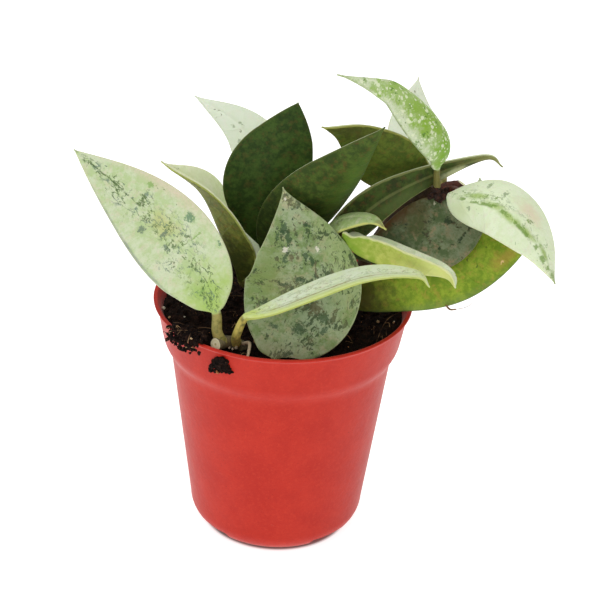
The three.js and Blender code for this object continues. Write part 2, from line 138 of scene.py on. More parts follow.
# Leaf blades: rows from base to tip and how far they crowd at both ends, columns from midrib to margin,
# thicknesses at the midrib and the margin, how much thinner the tip is and where that starts, the shares
# of the length where the blade takes over the petiole's way and girth, the groove and rib, and the blade
# width whose wave is full.
BLADE_ROWS, ROW_CROWDING = 96, 0.1
INNER_COLUMNS, ROUND_COLUMNS = 12, 4
BLADE_THICKNESS, EDGE_THICKNESS = 1.5, 0.7
TIP_HALF_WIDTH, TIP_THINNING, TIP_START = 0.18, 0.55, 0.9
BASE_TURN, BASE_SWELL, SWELL_REACH = 0.05, 0.06, 1.2
GROOVE_DEPTH, GROOVE_REACH, RIB_REACH = 0.14, 0.4, 0.7
WAVE_WIDTH = 18

# Petioles: their radii at both ends, how late they thin, their rows, and the swell at their foot.
PETIOLE_RADIUS, PETIOLE_END_RADIUS, PETIOLE_THINNING = 1.15, 0.45, 3
PETIOLE_ROWS = 18
FOOT_SWELL, FOOT_REACH = 0.3, 1.6

# Millimetres in a centimetre, the unit of the patterns.
CM = 10

# Stems: points round, the length of a row, how far the bark swells, and the shares of the end's radius at
# which the rings of its cut face lie.
STEM_SIDES = 28
STEM_ROW = 0.6
STEM_SWELL = 0.12
CUT_RINGS = [0.9, 0.62, 0.3]

# Each stem: the middle line from its buried end, and its radius there and at the other end. A branch
# has the same: the small root of the cut stem, and the broken side shoot of the right one. slant is how
# far its end is broken off aslant.
STEMS = {
    "stem_front": {
        "radius": 1.5, "end_radius": 1.42,
        "path": [[-3, -15, 49], [-6.5, -17, 53.5], [-11.4, -19.1, 57.1], [-14.3, -22.8, 58.4]],
        "branch": {
            "radius": 0.45, "end_radius": 0.3,
            "path": [[-8.6, -18.4, 56.3], [-6.9, -20.8, 58], [-6.9, -23.2, 57.2], [-7.5, -25.8, 55.2]],
        },
    },
    "stem_left": {"radius": 1.5, "end_radius": 1.35, "path": [[-8, 8, 47], [-7, 7.5, 55], [-6, 7.5, 63]]},
    "stem_centre": {"radius": 1.4, "end_radius": 1.26, "path": [[8, 1, 47], [9, 0.5, 58], [10, 0, 71]]},
    "stem_right": {
        "radius": 1.4, "end_radius": 1.75,
        "path": [[12, 6, 47], [15, 7, 57], [23.2, 10, 72.8], [29, 9.8, 79.4], [34, 8, 84.2]],
        "branch": {
            "radius": 1.35, "end_radius": 0.95, "slant": 0.9,
            "path": [[33.6, 8.2, 83.6], [36.8, 9.2, 84.5], [39.9, 9.5, 85.3]],
        },
    },
}
GREEN_STEM = {"bark": (96, 92, 52), "shade": (72, 70, 40), "spot": (86, 60, 42), "branch": (96, 92, 52)}
STEM_LOOKS = {
    "stem_front": {
        "bark": (118, 108, 78), "shade": (84, 78, 54), "spot": (132, 112, 92), "branch": (196, 176, 146),
    },
    "stem_left": GREEN_STEM,
    "stem_centre": GREEN_STEM,
    "stem_right": {"bark": (84, 56, 34), "shade": (54, 36, 24), "spot": (46, 38, 28), "branch": (84, 44, 32)},
}
# The cut end of a stem: its wood, the ring in it and where that lies, and the pith.
WOOD, WOOD_RING, PITH = (232, 230, 190), (206, 198, 138), (188, 186, 124)
RING_PLACE = 0.62

# Small things on the plant: the lumps of the right stem's knot and the pale nubs on the cut stem, the
# light bits in the peat, and fine roots, each with its place or path and its radius.
LUMPS = {
    "stem_right_knot": [
        ((33.4, 7.2, 82.6), 1.3), ((34.6, 7.2, 83.6), 1.25), ((32.2, 8, 81.6), 1.1),
        ((35.8, 8.2, 83.6), 1.15), ((33.8, 7.2, 84.9), 1), ((34.6, 8.8, 82.4), 1), ((31.4, 9, 80.6), 1.2),
        ((33.9, 6, 84.1), 1.4), ((33.6, 3, 85.2), 1.5), ((35, 3.8, 84.9), 1.3), ((32.4, 4, 84.2), 1.3),
        ((36.3, 6.2, 84.8), 1.2), ((33.5, 2.4, 86.8), 1.3), ((34.7, 4, 83.8), 1.1),
    ],
    "stem_front_nubs": [
        ((-9.8, -20.6, 56.6), 0.42), ((-11.3, -20.9, 56.6), 0.34), ((-10.6, -20.6, 56.2), 0.3),
    ],
}
LIGHT_BITS = [
    ((-19.6, -23.2, 59.9), 0.55), ((-21.2, -20.2, 60), 0.4), ((-27.3, -5.6, 57.6), 0.5),
    ((-25.6, -9.9, 57.6), 0.45), ((22, -5.4, 56.4), 0.4), ((25.6, -5.5, 56.4), 0.45),
    ((-13.6, -25.7, 53), 0.5), ((-24.4, -12.6, 57.2), 0.35),
]
FINE_ROOTS = [
    ([(21.2, -15.7, 56), (23, -10, 57.9), (24.8, -5.6, 57.9), (27.4, -4.6, 58.9), (29.2, -4.2, 59.2)], 0.1),
    ([(2, -25.6, 56), (7, -26.6, 57), (12.4, -24.6, 57.2), (15, -22, 56)], 0.08),
    ([(-20, -12, 56), (-17.4, -13.6, 57.4), (-14, -13, 56.6)], 0.09),
    ([(37.2, -5.5, 61.5), (38.2, -6, 60.7), (39.6, -5.8, 60.7)], 0.26),
    ([(39.4, -5.8, 60.7), (41.4, -5.5, 61), (43.2, -5, 62), (42.6, -4.5, 62.9)], 0.07),
]

# Each leaf: the petiole from its stem, the blade's midrib from base to tip, the way the upper side
# faces at base and tip, the full width, how far along it is widest, how fast it tapers, and the
# section's fold and curl. stalk is the petiole's radius where it isn't the usual one, round_base marks
# a blade whose base is round and not pointed, and join is where along the midrib the petiole meets a
# blade whose base reaches past it.
LEAVES = {
    "leaf_front_left": {
        "petiole": [[-13, -21, 57.7], [-14.1, -21, 60.8]], "stalk": 1.2,
        "midrib": [[-14.4, -20, 65], [-19.5, -17, 74], [-31, -9, 83.5], [-47.5, -2, 94.5]],
        "face": [[-0.2, -0.8, 0.5], [0.1, -0.7, 0.6]], "width": 18.5, "widest": 0.37, "taper": 1.05,
        "fold": 5, "curl": -3, "slot": "leaf_silver",
    },
    "leaf_left_folded": {
        "petiole": [[-6.9, 7.5, 57.8], [-9, 5.5, 59]],
        "midrib": [[-10, 4, 61], [-14.6, 3, 73], [-19.6, 1, 84.5], [-28.1, -3, 93]],
        "face": [[0.9, 0.45, 0.3], [0.6, -0.15, 0.8]], "width": 18.8, "widest": 0.34, "taper": 1.4,
        "fold": 30, "curl": 1, "slot": "leaf_bright",
    },
    "leaf_back_left": {
        "petiole": [[-6.9, 7.5, 57.5], [-7.2, 10.5, 59]],
        "midrib": [[-7, 12, 61], [-2, 16, 76], [-10, 22, 90], [-23, 27, 97]],
        "face": [[-0.2, -0.8, 0.5], [0, -0.7, 0.6]], "width": 17.5, "widest": 0.3, "taper": 1.1,
        "fold": 5, "curl": -3, "slot": "leaf_pale",
    },
    "leaf_back_dark": {
        "petiole": [[-6.2, 7.5, 61.5], [-5.8, 7.8, 64]],
        "midrib": [[-5, 8, 67], [-5.2, 5, 80], [-4.2, 3.2, 89], [-0.9, 3.4, 98], [1.6, 4, 105.5]],
        "face": [[0, 1, 0.1], [-0.1, 1, 0.3]], "width": 20, "widest": 0.51, "taper": 0.97,
        "fold": 5, "curl": -11, "slot": "leaf_dark",
    },
    "leaf_back_centre": {
        "petiole": [[-6.4, 7.5, 59], [-4.5, 6, 61]],
        "midrib": [[-3.5, 5, 64], [2, 0, 78.5], [12.5, -5, 94], [20.5, -8, 105.5]],
        "face": [[0, 0.9, 0.4], [-0.3, 0.9, 0.4]], "width": 17.6, "widest": 0.42, "taper": 1.15,
        "fold": 5, "curl": 18, "slot": "leaf_dark",
    },
    "leaf_front_broad": {
        "petiole": [[2.5, -18.5, 50], [0, -22, 54]], "round_base": True,
        "midrib": [[-1.1, -24, 56.6], [4.3, -15.6, 68.4], [3.2, -10, 77.5], [-1, -5, 89]],
        "face": [[0, -0.85, 0.5], [0, -0.8, 0.6]], "width": 26, "widest": 0.4, "taper": 1.36,
        "fold": -3, "curl": 3, "slot": "leaf_silver",
    },
    "leaf_front_arched": {
        "petiole": [[-10, -19.2, 57.1], [-9.6, -22, 61]], "stalk": 1, "round_base": True,
        "midrib": [
            [-7.7, -22.5, 65.5], [-2, -22.7, 67.6], [16.5, -21, 75.6], [28.5, -19.3, 76], [32, -19.3, 73.1],
        ],
        "face": [[-0.15, 0.05, 1], [0.15, 0.06, 1]], "width": 9, "widest": 0.37, "taper": 0.6,
        "fold": 4, "curl": 10, "slot": "leaf_pale",
    },
    "leaf_centre_folded": {
        "petiole": [[9.7, 0, 67.5], [11.2, -3, 75]],
        "midrib": [
            [13.5, -7.2, 78.3], [16.5, -10.2, 76], [26, -14, 74.2], [35, -18, 75.2], [37.6, -20, 73.5],
        ],
        "face": [[0, 0.4, 0.9], [0, 0.4, 0.9]], "width": 14, "widest": 0.36, "taper": 0.83,
        "fold": 45, "curl": 6, "slot": "leaf_bright",
    },
    "leaf_centre_small": {
        "petiole": [[9.2, 0.4, 64.5], [7.4, -1.1, 68.5]],
        "midrib": [[7.6, -1.4, 72.8], [11.9, -4.1, 80.3], [18.5, -9.5, 84.2], [22, -13.5, 83.7]],
        "face": [[-0.1, -0.3, 1], [0.2, -0.5, 1]], "width": 7, "widest": 0.36, "taper": 1.15,
        "fold": 5, "curl": -32, "slot": "leaf_pale",
    },
    "leaf_right_back": {
        "petiole": [[31.2, 9, 81.5], [32, 9.9, 83.8]], "round_base": True,
        "midrib": [[31.8, 9.4, 86], [24.8, 7, 88.9], [14.8, 3, 98.2], [7, -1, 102]],
        "face": [[-0.1, 0.9, 0.5], [-0.2, 0.8, 0.6]], "width": 17.4, "widest": 0.33, "taper": 1.3,
        "fold": 5, "curl": -4, "slot": "leaf_dark",
    },
    "leaf_top": {
        "petiole": [[33.9, 8, 84.2], [33.8, 4.1, 85.3], [33.5, 2, 88.6]], "stalk": 0.85, "round_base": True,
        "midrib": [
            [33.1, -0.3, 93.3], [33.9, -2, 99.3], [24.2, -3, 110], [18.7, -4, 113.2], [9.7, -5, 115.8],
        ],
        "face": [[0.8, -0.5, 0.5], [0.2, -0.6, 0.8]], "width": 11.6, "widest": 0.3, "taper": 1.5,
        "fold": -5, "curl": -27, "slot": "leaf_patched",
    },
    "leaf_top_back": {
        "petiole": [[33.6, 8.2, 83.8], [35.3, 10.5, 85]],
        "midrib": [[35, 12, 87], [30, 16, 91.5], [28.5, 24, 96], [29.5, 31, 102.5]],
        "face": [[-0.1, -0.8, 0.5], [0, -0.7, 0.6]], "width": 13.5, "widest": 0.37, "taper": 1.25,
        "fold": 5, "curl": -8, "slot": "leaf_pale",
    },
    "leaf_right_dark": {
        "petiole": [[9.9, 0.4, 69.8], [10, 0.7, 70.6]],
        "midrib": [[10.2, 1.5, 71.8], [19.6, 1, 82.9], [30, 4, 88.6], [44, 6.5, 93.3], [48.6, 8, 90.5]],
        "face": [[0, 0.9, -0.1], [0.1, 0.8, 0.6]], "width": 9, "widest": 0.25, "taper": 1.1,
        "fold": 5, "curl": -22, "slot": "leaf_dark",
    },
    "leaf_right_shaded": {
        "petiole": [[9.2, 0.5, 63], [11, 1, 66.5]],
        "midrib": [[13.5, 1.5, 68.8], [22.5, 1, 71.7], [35.5, 1.2, 76.9], [46, 3.2, 80.8]],
        "face": [[0.1, -0.8, 0.6], [0.1, -0.8, 0.7]], "width": 17.2, "widest": 0.61, "taper": 1,
        "fold": 5, "curl": -5, "slot": "leaf_silver",
    },
    "leaf_right_low": {
        "petiole": [[11, -2, 50], [12.5, -3.5, 56]],
        "midrib": [[14.5, -4, 59.4], [26.5, -2.8, 65.8], [39.7, -1, 69.3], [56, 1, 76]],
        "face": [[-0.1, 0.75, -0.6], [-0.1, 0.75, -0.5]], "width": 16.5, "widest": 0.48, "taper": 0.85,
        "fold": 5, "curl": 8, "slot": "leaf_bright",
    },
    "leaf_right_end": {
        "petiole": [[32, 8.8, 82.2], [37.5, 6.9, 84.6]], "join": 0.12,
        "midrib": [[36, -0.3, 86.2], [47.3, -6, 88], [55.5, -11, 82], [60, -14, 72.5]],
        "face": [[0.1, -0.5, 0.9], [0.5, -0.6, 0.5]], "width": 16.6, "widest": 0.41, "taper": 1.24,
        "round_base": True, "fold": -5, "curl": -23, "slot": "leaf_pale",
    },
    "leaf_right_young": {
        "petiole": [[30.2, 9.5, 80.5], [35, 9.9, 79.6]],
        "midrib": [[38.5, 9.6, 79.4], [42, 10.5, 80.2], [44.4, 13, 81.8], [44.4, 15, 84.5]],
        "face": [[0.1, -0.5, 0.9], [-0.1, -0.7, 0.6]], "width": 5, "widest": 0.4, "taper": 1,
        "fold": 5, "curl": -20, "slot": "leaf_pale",
    },
}

# What every leaf's colouring starts from, in sRGB. The pale side has clouds of green and blush, flecks of
# two colours, fine strokes near the midrib and a streak on it. The under side has a shade and a rusty tint.
# mottle, blushing, flecks, strokes, streak and dots say how strong each of them is, near how much denser
# the flecks are by the midrib, grain their scale across and along, and stroke_reach how far out the
# strokes go. The streak has a half width in centimetres, a start and end along the midrib, and a bow to
# one side. edge and under_edge say how strong the line along the margin is, rib how far the midrib
# stands out below, and gloss how bright the skin's reflections are. A zone is a soft oval on the blade:
# its place across (-1 to 1) and along (0 to 1), its reach both ways, its colour and strength. Marks are
# small ragged ovals, in sets that start with their colour.
LEAF_LOOK = {
    "pale": (212, 222, 188), "green": (176, 200, 140), "blush": (220, 212, 190), "margin": (206, 208, 168),
    "fleck": (86, 112, 62), "fleck_tint": (112, 112, 74), "under": (130, 150, 66),
    "under_shade": (96, 118, 44), "under_tint": (132, 108, 54), "under_margin": (190, 198, 124),
    "petiole": (164, 154, 88), "petiole_shade": (112, 112, 58),
    "mottle": 0.5, "blushing": 0.4, "flecks": 0.4, "near": 0.03,
    "grain": (15, 9), "strokes": 0.0, "stroke_reach": 0.5, "edge": 0.5, "under_edge": 0.5, "streak": 0.0,
    "streak_width": 0.03, "streak_span": (0.1, 0.95), "streak_bow": 0.0, "dots": 0.0, "rib": 0.1,
    "gloss": 0.2, "zones": [], "marks": [], "under_zones": [], "under_marks": [],
}
LEAF_LOOKS = {
    "leaf_front_left": {
        "pale": (208, 218, 184), "green": (176, 200, 134), "blush": (218, 206, 182), "fleck": (84, 110, 58),
        "fleck_tint": (108, 132, 112), "flecks": 0.45, "near": 0.12, "mottle": 0.7, "strokes": 0.85,
        "stroke_reach": 0.55, "streak": 0.85, "streak_span": (0.6, 0.93), "streak_width": 0.022,
        "zones": [
            (0, 0.03, 1.8, 0.2, (172, 200, 100), 0.9), (-0.1, 0.11, 0.6, 0.1, (146, 184, 84), 0.35),
            (0.95, 0.6, 0.3, 0.3, (222, 202, 180), 0.6), (0.1, 0.46, 0.4, 0.1, (196, 196, 122), 0.6),
            # The last zone, a thin grey-blue band along the margin on the minus side, is a painted shadow
            # line.
            (-1, 0.5, 0.09, 0.6, (124, 138, 130), 0.9),
        ],
        "marks": [
            ((92, 132, 98), (0.68, 0.41, 0.11, 0.022), (0.88, 0.24, 0.05, 0.01)),
            ((140, 174, 98), (0.7, 0.63, 0.07, 0.018), (0.5, 0.33, 0.16, 0.008), (-0.2, 0.12, 0.14, 0.014)),
            ((104, 124, 104), (-0.22, 0.37, 0.07, 0.022), (-0.05, 0.43, 0.14, 0.012),
             (-0.42, 0.52, 0.1, 0.016)),
        ],
    },
    "leaf_left_folded": {
        "under": (128, 136, 56), "under_shade": (96, 108, 42), "under_tint": (134, 104, 42),
        "pale": (230, 236, 200), "green": (212, 222, 170), "blush": (230, 226, 196), "flecks": 0.05,
        "under_margin": (196, 204, 108), "under_edge": 0.8, "gloss": 0.1, "rib": 0,
        "under_zones": [
            (0, 0.12, 1.6, 0.3, (54, 62, 24), 0.9), (0.95, 0.5, 0.4, 0.5, (84, 98, 38), 0.6),
            (0, 0.85, 1, 0.25, (158, 164, 72), 0.6),
        ],
    },
    "leaf_back_left": {
        "pale": (228, 235, 216), "green": (218, 230, 204), "blush": (232, 228, 214), "flecks": 0.14,
        "edge": 0.3, "margin": (190, 200, 168),
        "marks": [
            ((160, 172, 142), (-0.3, 0.76, 0.08, 0.014), (0.1, 0.75, 0.09, 0.012), (-0.5, 0.68, 0.06, 0.014)),
        ],
    },
    "leaf_back_dark": {
        "under": (68, 92, 38), "under_shade": (44, 64, 26), "under_tint": (84, 76, 38),
        "under_margin": (100, 104, 56), "rib": 0, "gloss": 0.1, "under_edge": 0.3,
    },
    "leaf_back_centre": {
        "under": (82, 102, 42), "under_shade": (54, 72, 30), "under_tint": (98, 78, 40),
        "under_margin": (130, 140, 84), "rib": 0, "gloss": 0.1, "under_edge": 0.15,
        "under_zones": [(0.2, 0.1, 1.6, 0.4, (42, 54, 24), 0.7), (-0.6, 0.7, 0.5, 0.3, (96, 128, 52), 0.5)],
    },
    "leaf_front_broad": {
        "pale": (160, 174, 136), "green": (112, 138, 76), "blush": (176, 168, 134), "fleck": (44, 64, 38),
        "fleck_tint": (86, 88, 60), "margin": (182, 194, 146), "mottle": 0.85, "blushing": 0.6,
        "flecks": 1.4, "grain": (13, 9),
        "zones": [
            (-0.75, 0.5, 0.5, 0.34, (126, 146, 80), 0.85), (-0.3, 0.42, 0.5, 0.14, (140, 140, 88), 0.4),
            (0.75, 0.6, 0.4, 0.3, (158, 176, 112), 0.6), (-0.1, 0.96, 1.2, 0.07, (196, 186, 142), 0.8),
            (0, 0.0, 1.6, 0.1, (158, 156, 124), 0.5), (0.3, 0.3, 0.5, 0.2, (150, 168, 140), 0.6),
        ],
        "marks": [
            ((58, 84, 54), (-0.4, 0.78, 0.13, 0.04), (-0.6, 0.74, 0.07, 0.03), (-0.25, 0.72, 0.07, 0.05),
             (0.4, 0.76, 0.12, 0.02), (-0.36, 0.6, 0.07, 0.02), (0.06, 0.6, 0.07, 0.026),
             (0.17, 0.56, 0.05, 0.03), (-0.07, 0.46, 0.1, 0.016), (0.2, 0.2, 0.14, 0.04),
             (0.5, 0.3, 0.12, 0.03)),
            ((98, 92, 66), (-0.22, 0.6, 0.05, 0.02), (-0.1, 0.6, 0.04, 0.024), (0.24, 0.52, 0.02, 0.05),
             (0.3, 0.33, 0.16, 0.03), (-0.2, 0.3, 0.12, 0.016), (0.3, 0.03, 0.02, 0.04)),
            ((66, 92, 66), (-0.5, 0.24, 0.08, 0.02), (-0.3, 0.15, 0.12, 0.02), (0.62, 0.24, 0.07, 0.03)),
            ((232, 228, 210), (-0.33, 0.65, 0.08, 0.013), (0.36, 0.62, 0.045, 0.013),
             (-0.2, 0.93, 0.2, 0.014)),
        ],
    },
    "leaf_front_arched": {
        "pale": (216, 226, 200), "green": (204, 220, 166), "flecks": 0.1, "under_margin": (192, 204, 104),
        "under": (200, 210, 118), "under_shade": (176, 188, 92), "petiole": (186, 172, 88), "edge": 0.6,
        "margin": (204, 214, 130), "strokes": 0.5, "stroke_reach": 0.9, "fleck": (132, 150, 92),
        "fleck_tint": (138, 140, 84),
        "zones": [
            (0, 0, 2, 0.16, (192, 210, 96), 0.9), (0, 0.95, 2, 0.12, (212, 218, 166), 0.7),
            # The first zone here, yellow-green towards one margin, is painted shade of the blade's bent-down
            # near half.
            (0.9, 0.4, 0.4, 0.5, (188, 202, 104), 0.7), (0.5, 0.45, 0.1, 0.5, (146, 132, 70), 0.85),
        ],
        "marks": [((130, 150, 74), (-0.3, 0.07, 0.16, 0.012), (0.1, 0.05, 0.1, 0.014))],
    },
    "leaf_centre_folded": {
        "under": (196, 206, 104), "under_shade": (172, 188, 80), "under_tint": (200, 196, 110),
        "pale": (222, 228, 200), "under_margin": (228, 230, 176), "under_edge": 0.8, "rib": 0,
        "under_zones": [(0, 0, 2, 0.35, (142, 178, 58), 0.9), (0, 0.8, 2, 0.3, (212, 218, 142), 0.7)],
    },
    "leaf_centre_small": {
        "pale": (170, 190, 130), "green": (132, 162, 84), "fleck": (66, 92, 44), "flecks": 0.85,
        "margin": (206, 208, 120), "edge": 0.9, "under": (120, 96, 48),
        "zones": [(0.3, 0.98, 1.6, 0.12, (128, 100, 56), 0.9)],
        "under_zones": [(0, 0.98, 2, 0.16, (118, 90, 50), 0.9)],
    },
    "leaf_right_back": {
        "under": (106, 122, 46), "under_shade": (76, 94, 34), "under_tint": (122, 98, 46),
        "under_margin": (196, 196, 104), "rib": 0, "gloss": 0.12, "under_edge": 0.7,
        "under_zones": [(-0.5, 0.8, 1, 0.25, (84, 84, 40), 0.6)],
    },
    "leaf_top": {
        "pale": (206, 217, 180), "green": (140, 176, 70), "fleck": (84, 126, 40),
        "fleck_tint": (120, 154, 62), "mottle": 0.95, "flecks": 0.85, "grain": (10, 8), "dots": 0.85,
        # The darker margin colour is painted shade along the leaf's edge.
        "petiole": (122, 116, 62), "margin": (150, 164, 118),
        "zones": [
            (0.4, 0.36, 1.1, 0.4, (134, 172, 46), 0.9), (-0.3, 0.14, 1.2, 0.16, (124, 168, 40), 0.9),
            (0.2, 0.62, 0.7, 0.14, (150, 184, 86), 0.7), (-0.9, 0.45, 0.35, 0.4, (212, 220, 192), 0.85),
            # The last zone here, a dark band along the margin on the minus side, is a painted shadow line.
            (0.1, 0.9, 1.2, 0.18, (206, 216, 182), 0.7), (-1, 0.45, 0.05, 0.5, (104, 122, 66), 0.7),
        ],
    },
    "leaf_top_back": {
        "pale": (224, 230, 210), "green": (214, 224, 198), "blush": (228, 224, 208), "flecks": 0.08,
        "edge": 0.3,
    },
    "leaf_right_dark": {
        "under": (72, 92, 38), "under_shade": (48, 60, 26), "under_tint": (96, 70, 40),
        "under_margin": (160, 162, 104), "gloss": 0.1, "under_edge": 0.6, "rib": 0.22,
        "under_zones": [
            (-0.6, 0.42, 0.6, 0.2, (96, 112, 60), 0.6), (-0.7, 0.72, 0.7, 0.1, (190, 196, 150), 0.95),
            (0.4, 0.9, 1.6, 0.16, (140, 142, 80), 0.6),
        ],
    },
    "leaf_right_shaded": {
        # This leaf's colours are its own grey-green, made darker than the other silver leaves' as painted
        # shade from the leaves above it.
        "pale": (126, 136, 104), "green": (76, 96, 56), "blush": (158, 134, 104), "fleck": (38, 54, 34),
        "fleck_tint": (70, 62, 44), "margin": (112, 98, 66), "mottle": 0.9, "flecks": 0.9, "blushing": 0.7,
        "grain": (11, 8), "gloss": 0.12,
        "zones": [
            # The first zone darkens the base and the second browns the upper margin, painted shade from the
            # leaves over it; the last zone lightens the tip, a painted pool of light.
            (0, 0.22, 2.4, 0.32, (54, 66, 38), 0.8), (-0.95, 0.42, 0.4, 0.3, (92, 56, 32), 0.85),
            (-0.5, 0.55, 0.5, 0.12, (86, 86, 48), 0.7), (0.2, 0.82, 0.8, 0.16, (132, 140, 112), 0.6),
        ],
        "marks": [
            ((38, 56, 36), (-0.2, 0.73, 0.12, 0.026), (0.45, 0.76, 0.06, 0.02), (0.42, 0.62, 0.05, 0.014)),
            ((222, 218, 190), (-0.8, 0.69, 0.04, 0.012)),
        ],
    },
    "leaf_right_low": {
        "under": (156, 178, 56), "under_shade": (120, 150, 40), "under_tint": (176, 156, 66),
        "under_margin": (72, 100, 62), "rib": 0, "under_edge": 0.6, "gloss": 0.15,
        "under_zones": [
            # The first under zone, dark brown at the base, is painted shade from the leaf lying over it.
            (0, 0.08, 2, 0.2, (78, 68, 30), 0.85), (0.6, 0.4, 0.5, 0.3, (100, 122, 38), 0.7),
            (-0.4, 0.84, 0.4, 0.1, (184, 152, 70), 0.6), (-0.95, 0.5, 0.2, 0.6, (114, 140, 72), 0.5),
        ],
        "under_marks": [
            ((84, 100, 36), (0.33, 0.77, 0.04, 0.008), (0.1, 0.66, 0.05, 0.008), (-0.2, 0.7, 0.035, 0.007)),
            ((240, 206, 150), (-0.47, 0.82, 0.05, 0.008)),
        ],
    },
    "leaf_right_end": {
        "pale": (226, 236, 204), "green": (210, 226, 178), "fleck": (112, 146, 58),
        "fleck_tint": (124, 144, 96), "petiole": (96, 52, 36), "petiole_shade": (66, 34, 26),
        "flecks": 0.3, "blushing": 0.3,
        "streak": 0.8, "streak_width": 0.045, "streak_span": (0.1, 1), "streak_bow": 0.22,
        "strokes": 0.5, "stroke_reach": 0.25, "edge": 0.4, "near": 0.08,
        "zones": [
            (-0.02, 0.2, 0.14, 0.1, (158, 186, 92), 0.85), (0.2, 0.34, 0.14, 0.1, (158, 186, 92), 0.85),
            (0.29, 0.48, 0.15, 0.1, (156, 184, 88), 0.85), (0.24, 0.63, 0.15, 0.1, (150, 178, 84), 0.85),
            (0.13, 0.78, 0.18, 0.1, (142, 170, 78), 0.85), (-0.35, 0.55, 0.35, 0.12, (224, 206, 178), 0.7),
            (0, 1, 1, 0.12, (112, 138, 62), 0.7), (0.6, 0.1, 0.6, 0.12, (204, 218, 166), 0.6),
        ],
        "marks": [
            ((140, 158, 118), (-0.55, 0.25, 0.16, 0.014), (-0.3, 0.36, 0.2, 0.01), (0.45, 0.17, 0.1, 0.01)),
        ],
    },
    "leaf_right_young": {"pale": (184, 192, 164), "green": (164, 180, 140), "flecks": 0.1},
}
# What all leaves share: how ragged the zones and marks are and where their edges start and end, how many
# flecks there are, how strong marks and flecks are, the colour of dots and the full part of one, the
# least rib whose line shows, the least roughness, and the side veins.
ZONE_FRAYING, ZONE_EDGE = 1.6, (1.2, 0.15)
MARK_FRAYING, MARK_EDGE, MARK_STRENGTH = 3.4, (1.15, 0.6), 0.8
FLECK_LIMIT, FLECK_GAIN, FLECK_STRENGTH = 0.78, 0.16, 0.8
PALE_DOTS, DOT_CORE = (224, 232, 196), 0.6
SEEN_RIB, LEAF_ROUGHNESS = 0.2, 0.42
VEIN_SLANT, VEINS_PER_CM = 0.8, 2.1

# A layer of colour: the grain of its noise, where its patches start and are full, its colour and strength,
# and how far its noise is shifted where it has to differ from the layer below.
POT_RED, SCUFF, DUST = (183, 38, 24), (226, 140, 124), (92, 34, 28)
POT_LAYERS = [
    ((1.2, 5, 0.65), 0.35, 0.65, (192, 45, 29), 1), ((13, 4, 0.7), 0.48, 0.7, (204, 60, 38), 0.4),
    ((34, 2, 0.6), 0.5, 0.72, (160, 30, 22), 0.35),
]
# The materials of the peat and the small things: the base colour and the layers over it, the relief's
# grain and its depth in millimetres, and how rough and how bright it is.
PLAIN_LOOKS = {
    "peat_dark": {
        "base": (22, 16, 14),
        "layers": [
            ((9, 5, 0.7), 0.4, 0.75, (58, 38, 30), 1), ((30, 2, 0.6), 0.66, 0.74, (128, 84, 54), 1),
        ],
        "relief": (28, 5, 0.75), "depth": 0.5, "rough": 0.95, "gloss": 0.1,
    },
    "peat_light_bits": {
        "base": (166, 102, 58),
        "layers": [
            ((5, 1), 0.46, 0.52, (196, 168, 128), 1), ((5, 1), 0.58, 0.62, (230, 224, 206), 1, (3, 5, 1)),
            ((40, 3), 0.5, 0.7, (120, 84, 56), 0.4),
        ],
        "relief": (34, 4, 0.7), "depth": 0.2, "rough": 0.8, "gloss": 0.2,
    },
    "peat_fibres": {
        "base": (52, 34, 26), "layers": [((3, 3, 0.6), 0.4, 0.64, (150, 118, 84), 1)],
        "relief": (40, 3, 0.6), "depth": 0.1, "rough": 0.85, "gloss": 0.15,
    },
}
for lumps, dark, light in (
    ("stem_right_knot", (34, 24, 22), (76, 46, 34)), ("stem_front_nubs", (168, 150, 120), (216, 200, 176)),
):
    PLAIN_LOOKS[lumps + "_skin"] = {
        "base": dark, "layers": [((12, 4, 0.65), 0.38, 0.66, light, 1)],
        "relief": (30, 4, 0.7), "depth": 0.25, "rough": 0.62, "gloss": 0.2,
    }


def unit(vectors):
    """Vectors made one long."""
    vectors = np.asarray(vectors, float)
    return vectors / np.maximum(np.linalg.norm(vectors, axis=-1, keepdims=True), 1e-12)


def smooth(values, low, high):
    """0 up to low, 1 from high, and a smooth rise between."""
    share = np.clip((np.asarray(values, float) - low) / (high - low), 0, 1)
    return share * share * (3 - 2 * share)


class Line:
    """A smooth line through points, read by the share of its length."""

    def __init__(self, path):
        points = [np.asarray(p, float) for p in path]
        points = [2 * points[0] - points[1], *points, 2 * points[-1] - points[-2]]
        dense = []
        for before, start, end, after in zip(points, points[1:], points[2:], points[3:]):
            leave, arrive = (end - before) / 2, (after - start) / 2
            for t in np.linspace(0, 1, 60, endpoint=False):
                dense.append(
                    (2 * start - 2 * end + leave + arrive) * t**3
                    + (3 * end - 3 * start - 2 * leave - arrive) * t**2 + leave * t + start
                )
        dense.append(points[-2])
        self.points = np.array(dense)
        steps = np.linalg.norm(np.diff(self.points, axis=0), axis=1)
        self.distance = np.concatenate([[0], np.cumsum(steps)])
        self.length = self.distance[-1]

    def at(self, shares):
        """The points at these shares of the length."""
        along = np.asarray(shares, float) * self.length
        return np.stack([np.interp(along, self.distance, self.points[:, k]) for k in range(3)], -1)

    def direction(self, shares):
        """The way the line runs at these shares of the length."""
        shares = np.asarray(shares, float)
        return unit(self.at(np.clip(shares + 0.004, 0, 1)) - self.at(np.clip(shares - 0.004, 0, 1)))


def add_object(name, data):
    """An object of this data, in the scene."""
    made = bpy.data.objects.new(name, data)
    bpy.context.scene.collection.objects.link(made)
    return made


def add_built(name, built):
    """An object of what was built in a bmesh, in the scene."""
    mesh = bpy.data.meshes.new(name)
    built.to_mesh(mesh)
    built.free()
    return add_object(name, mesh)


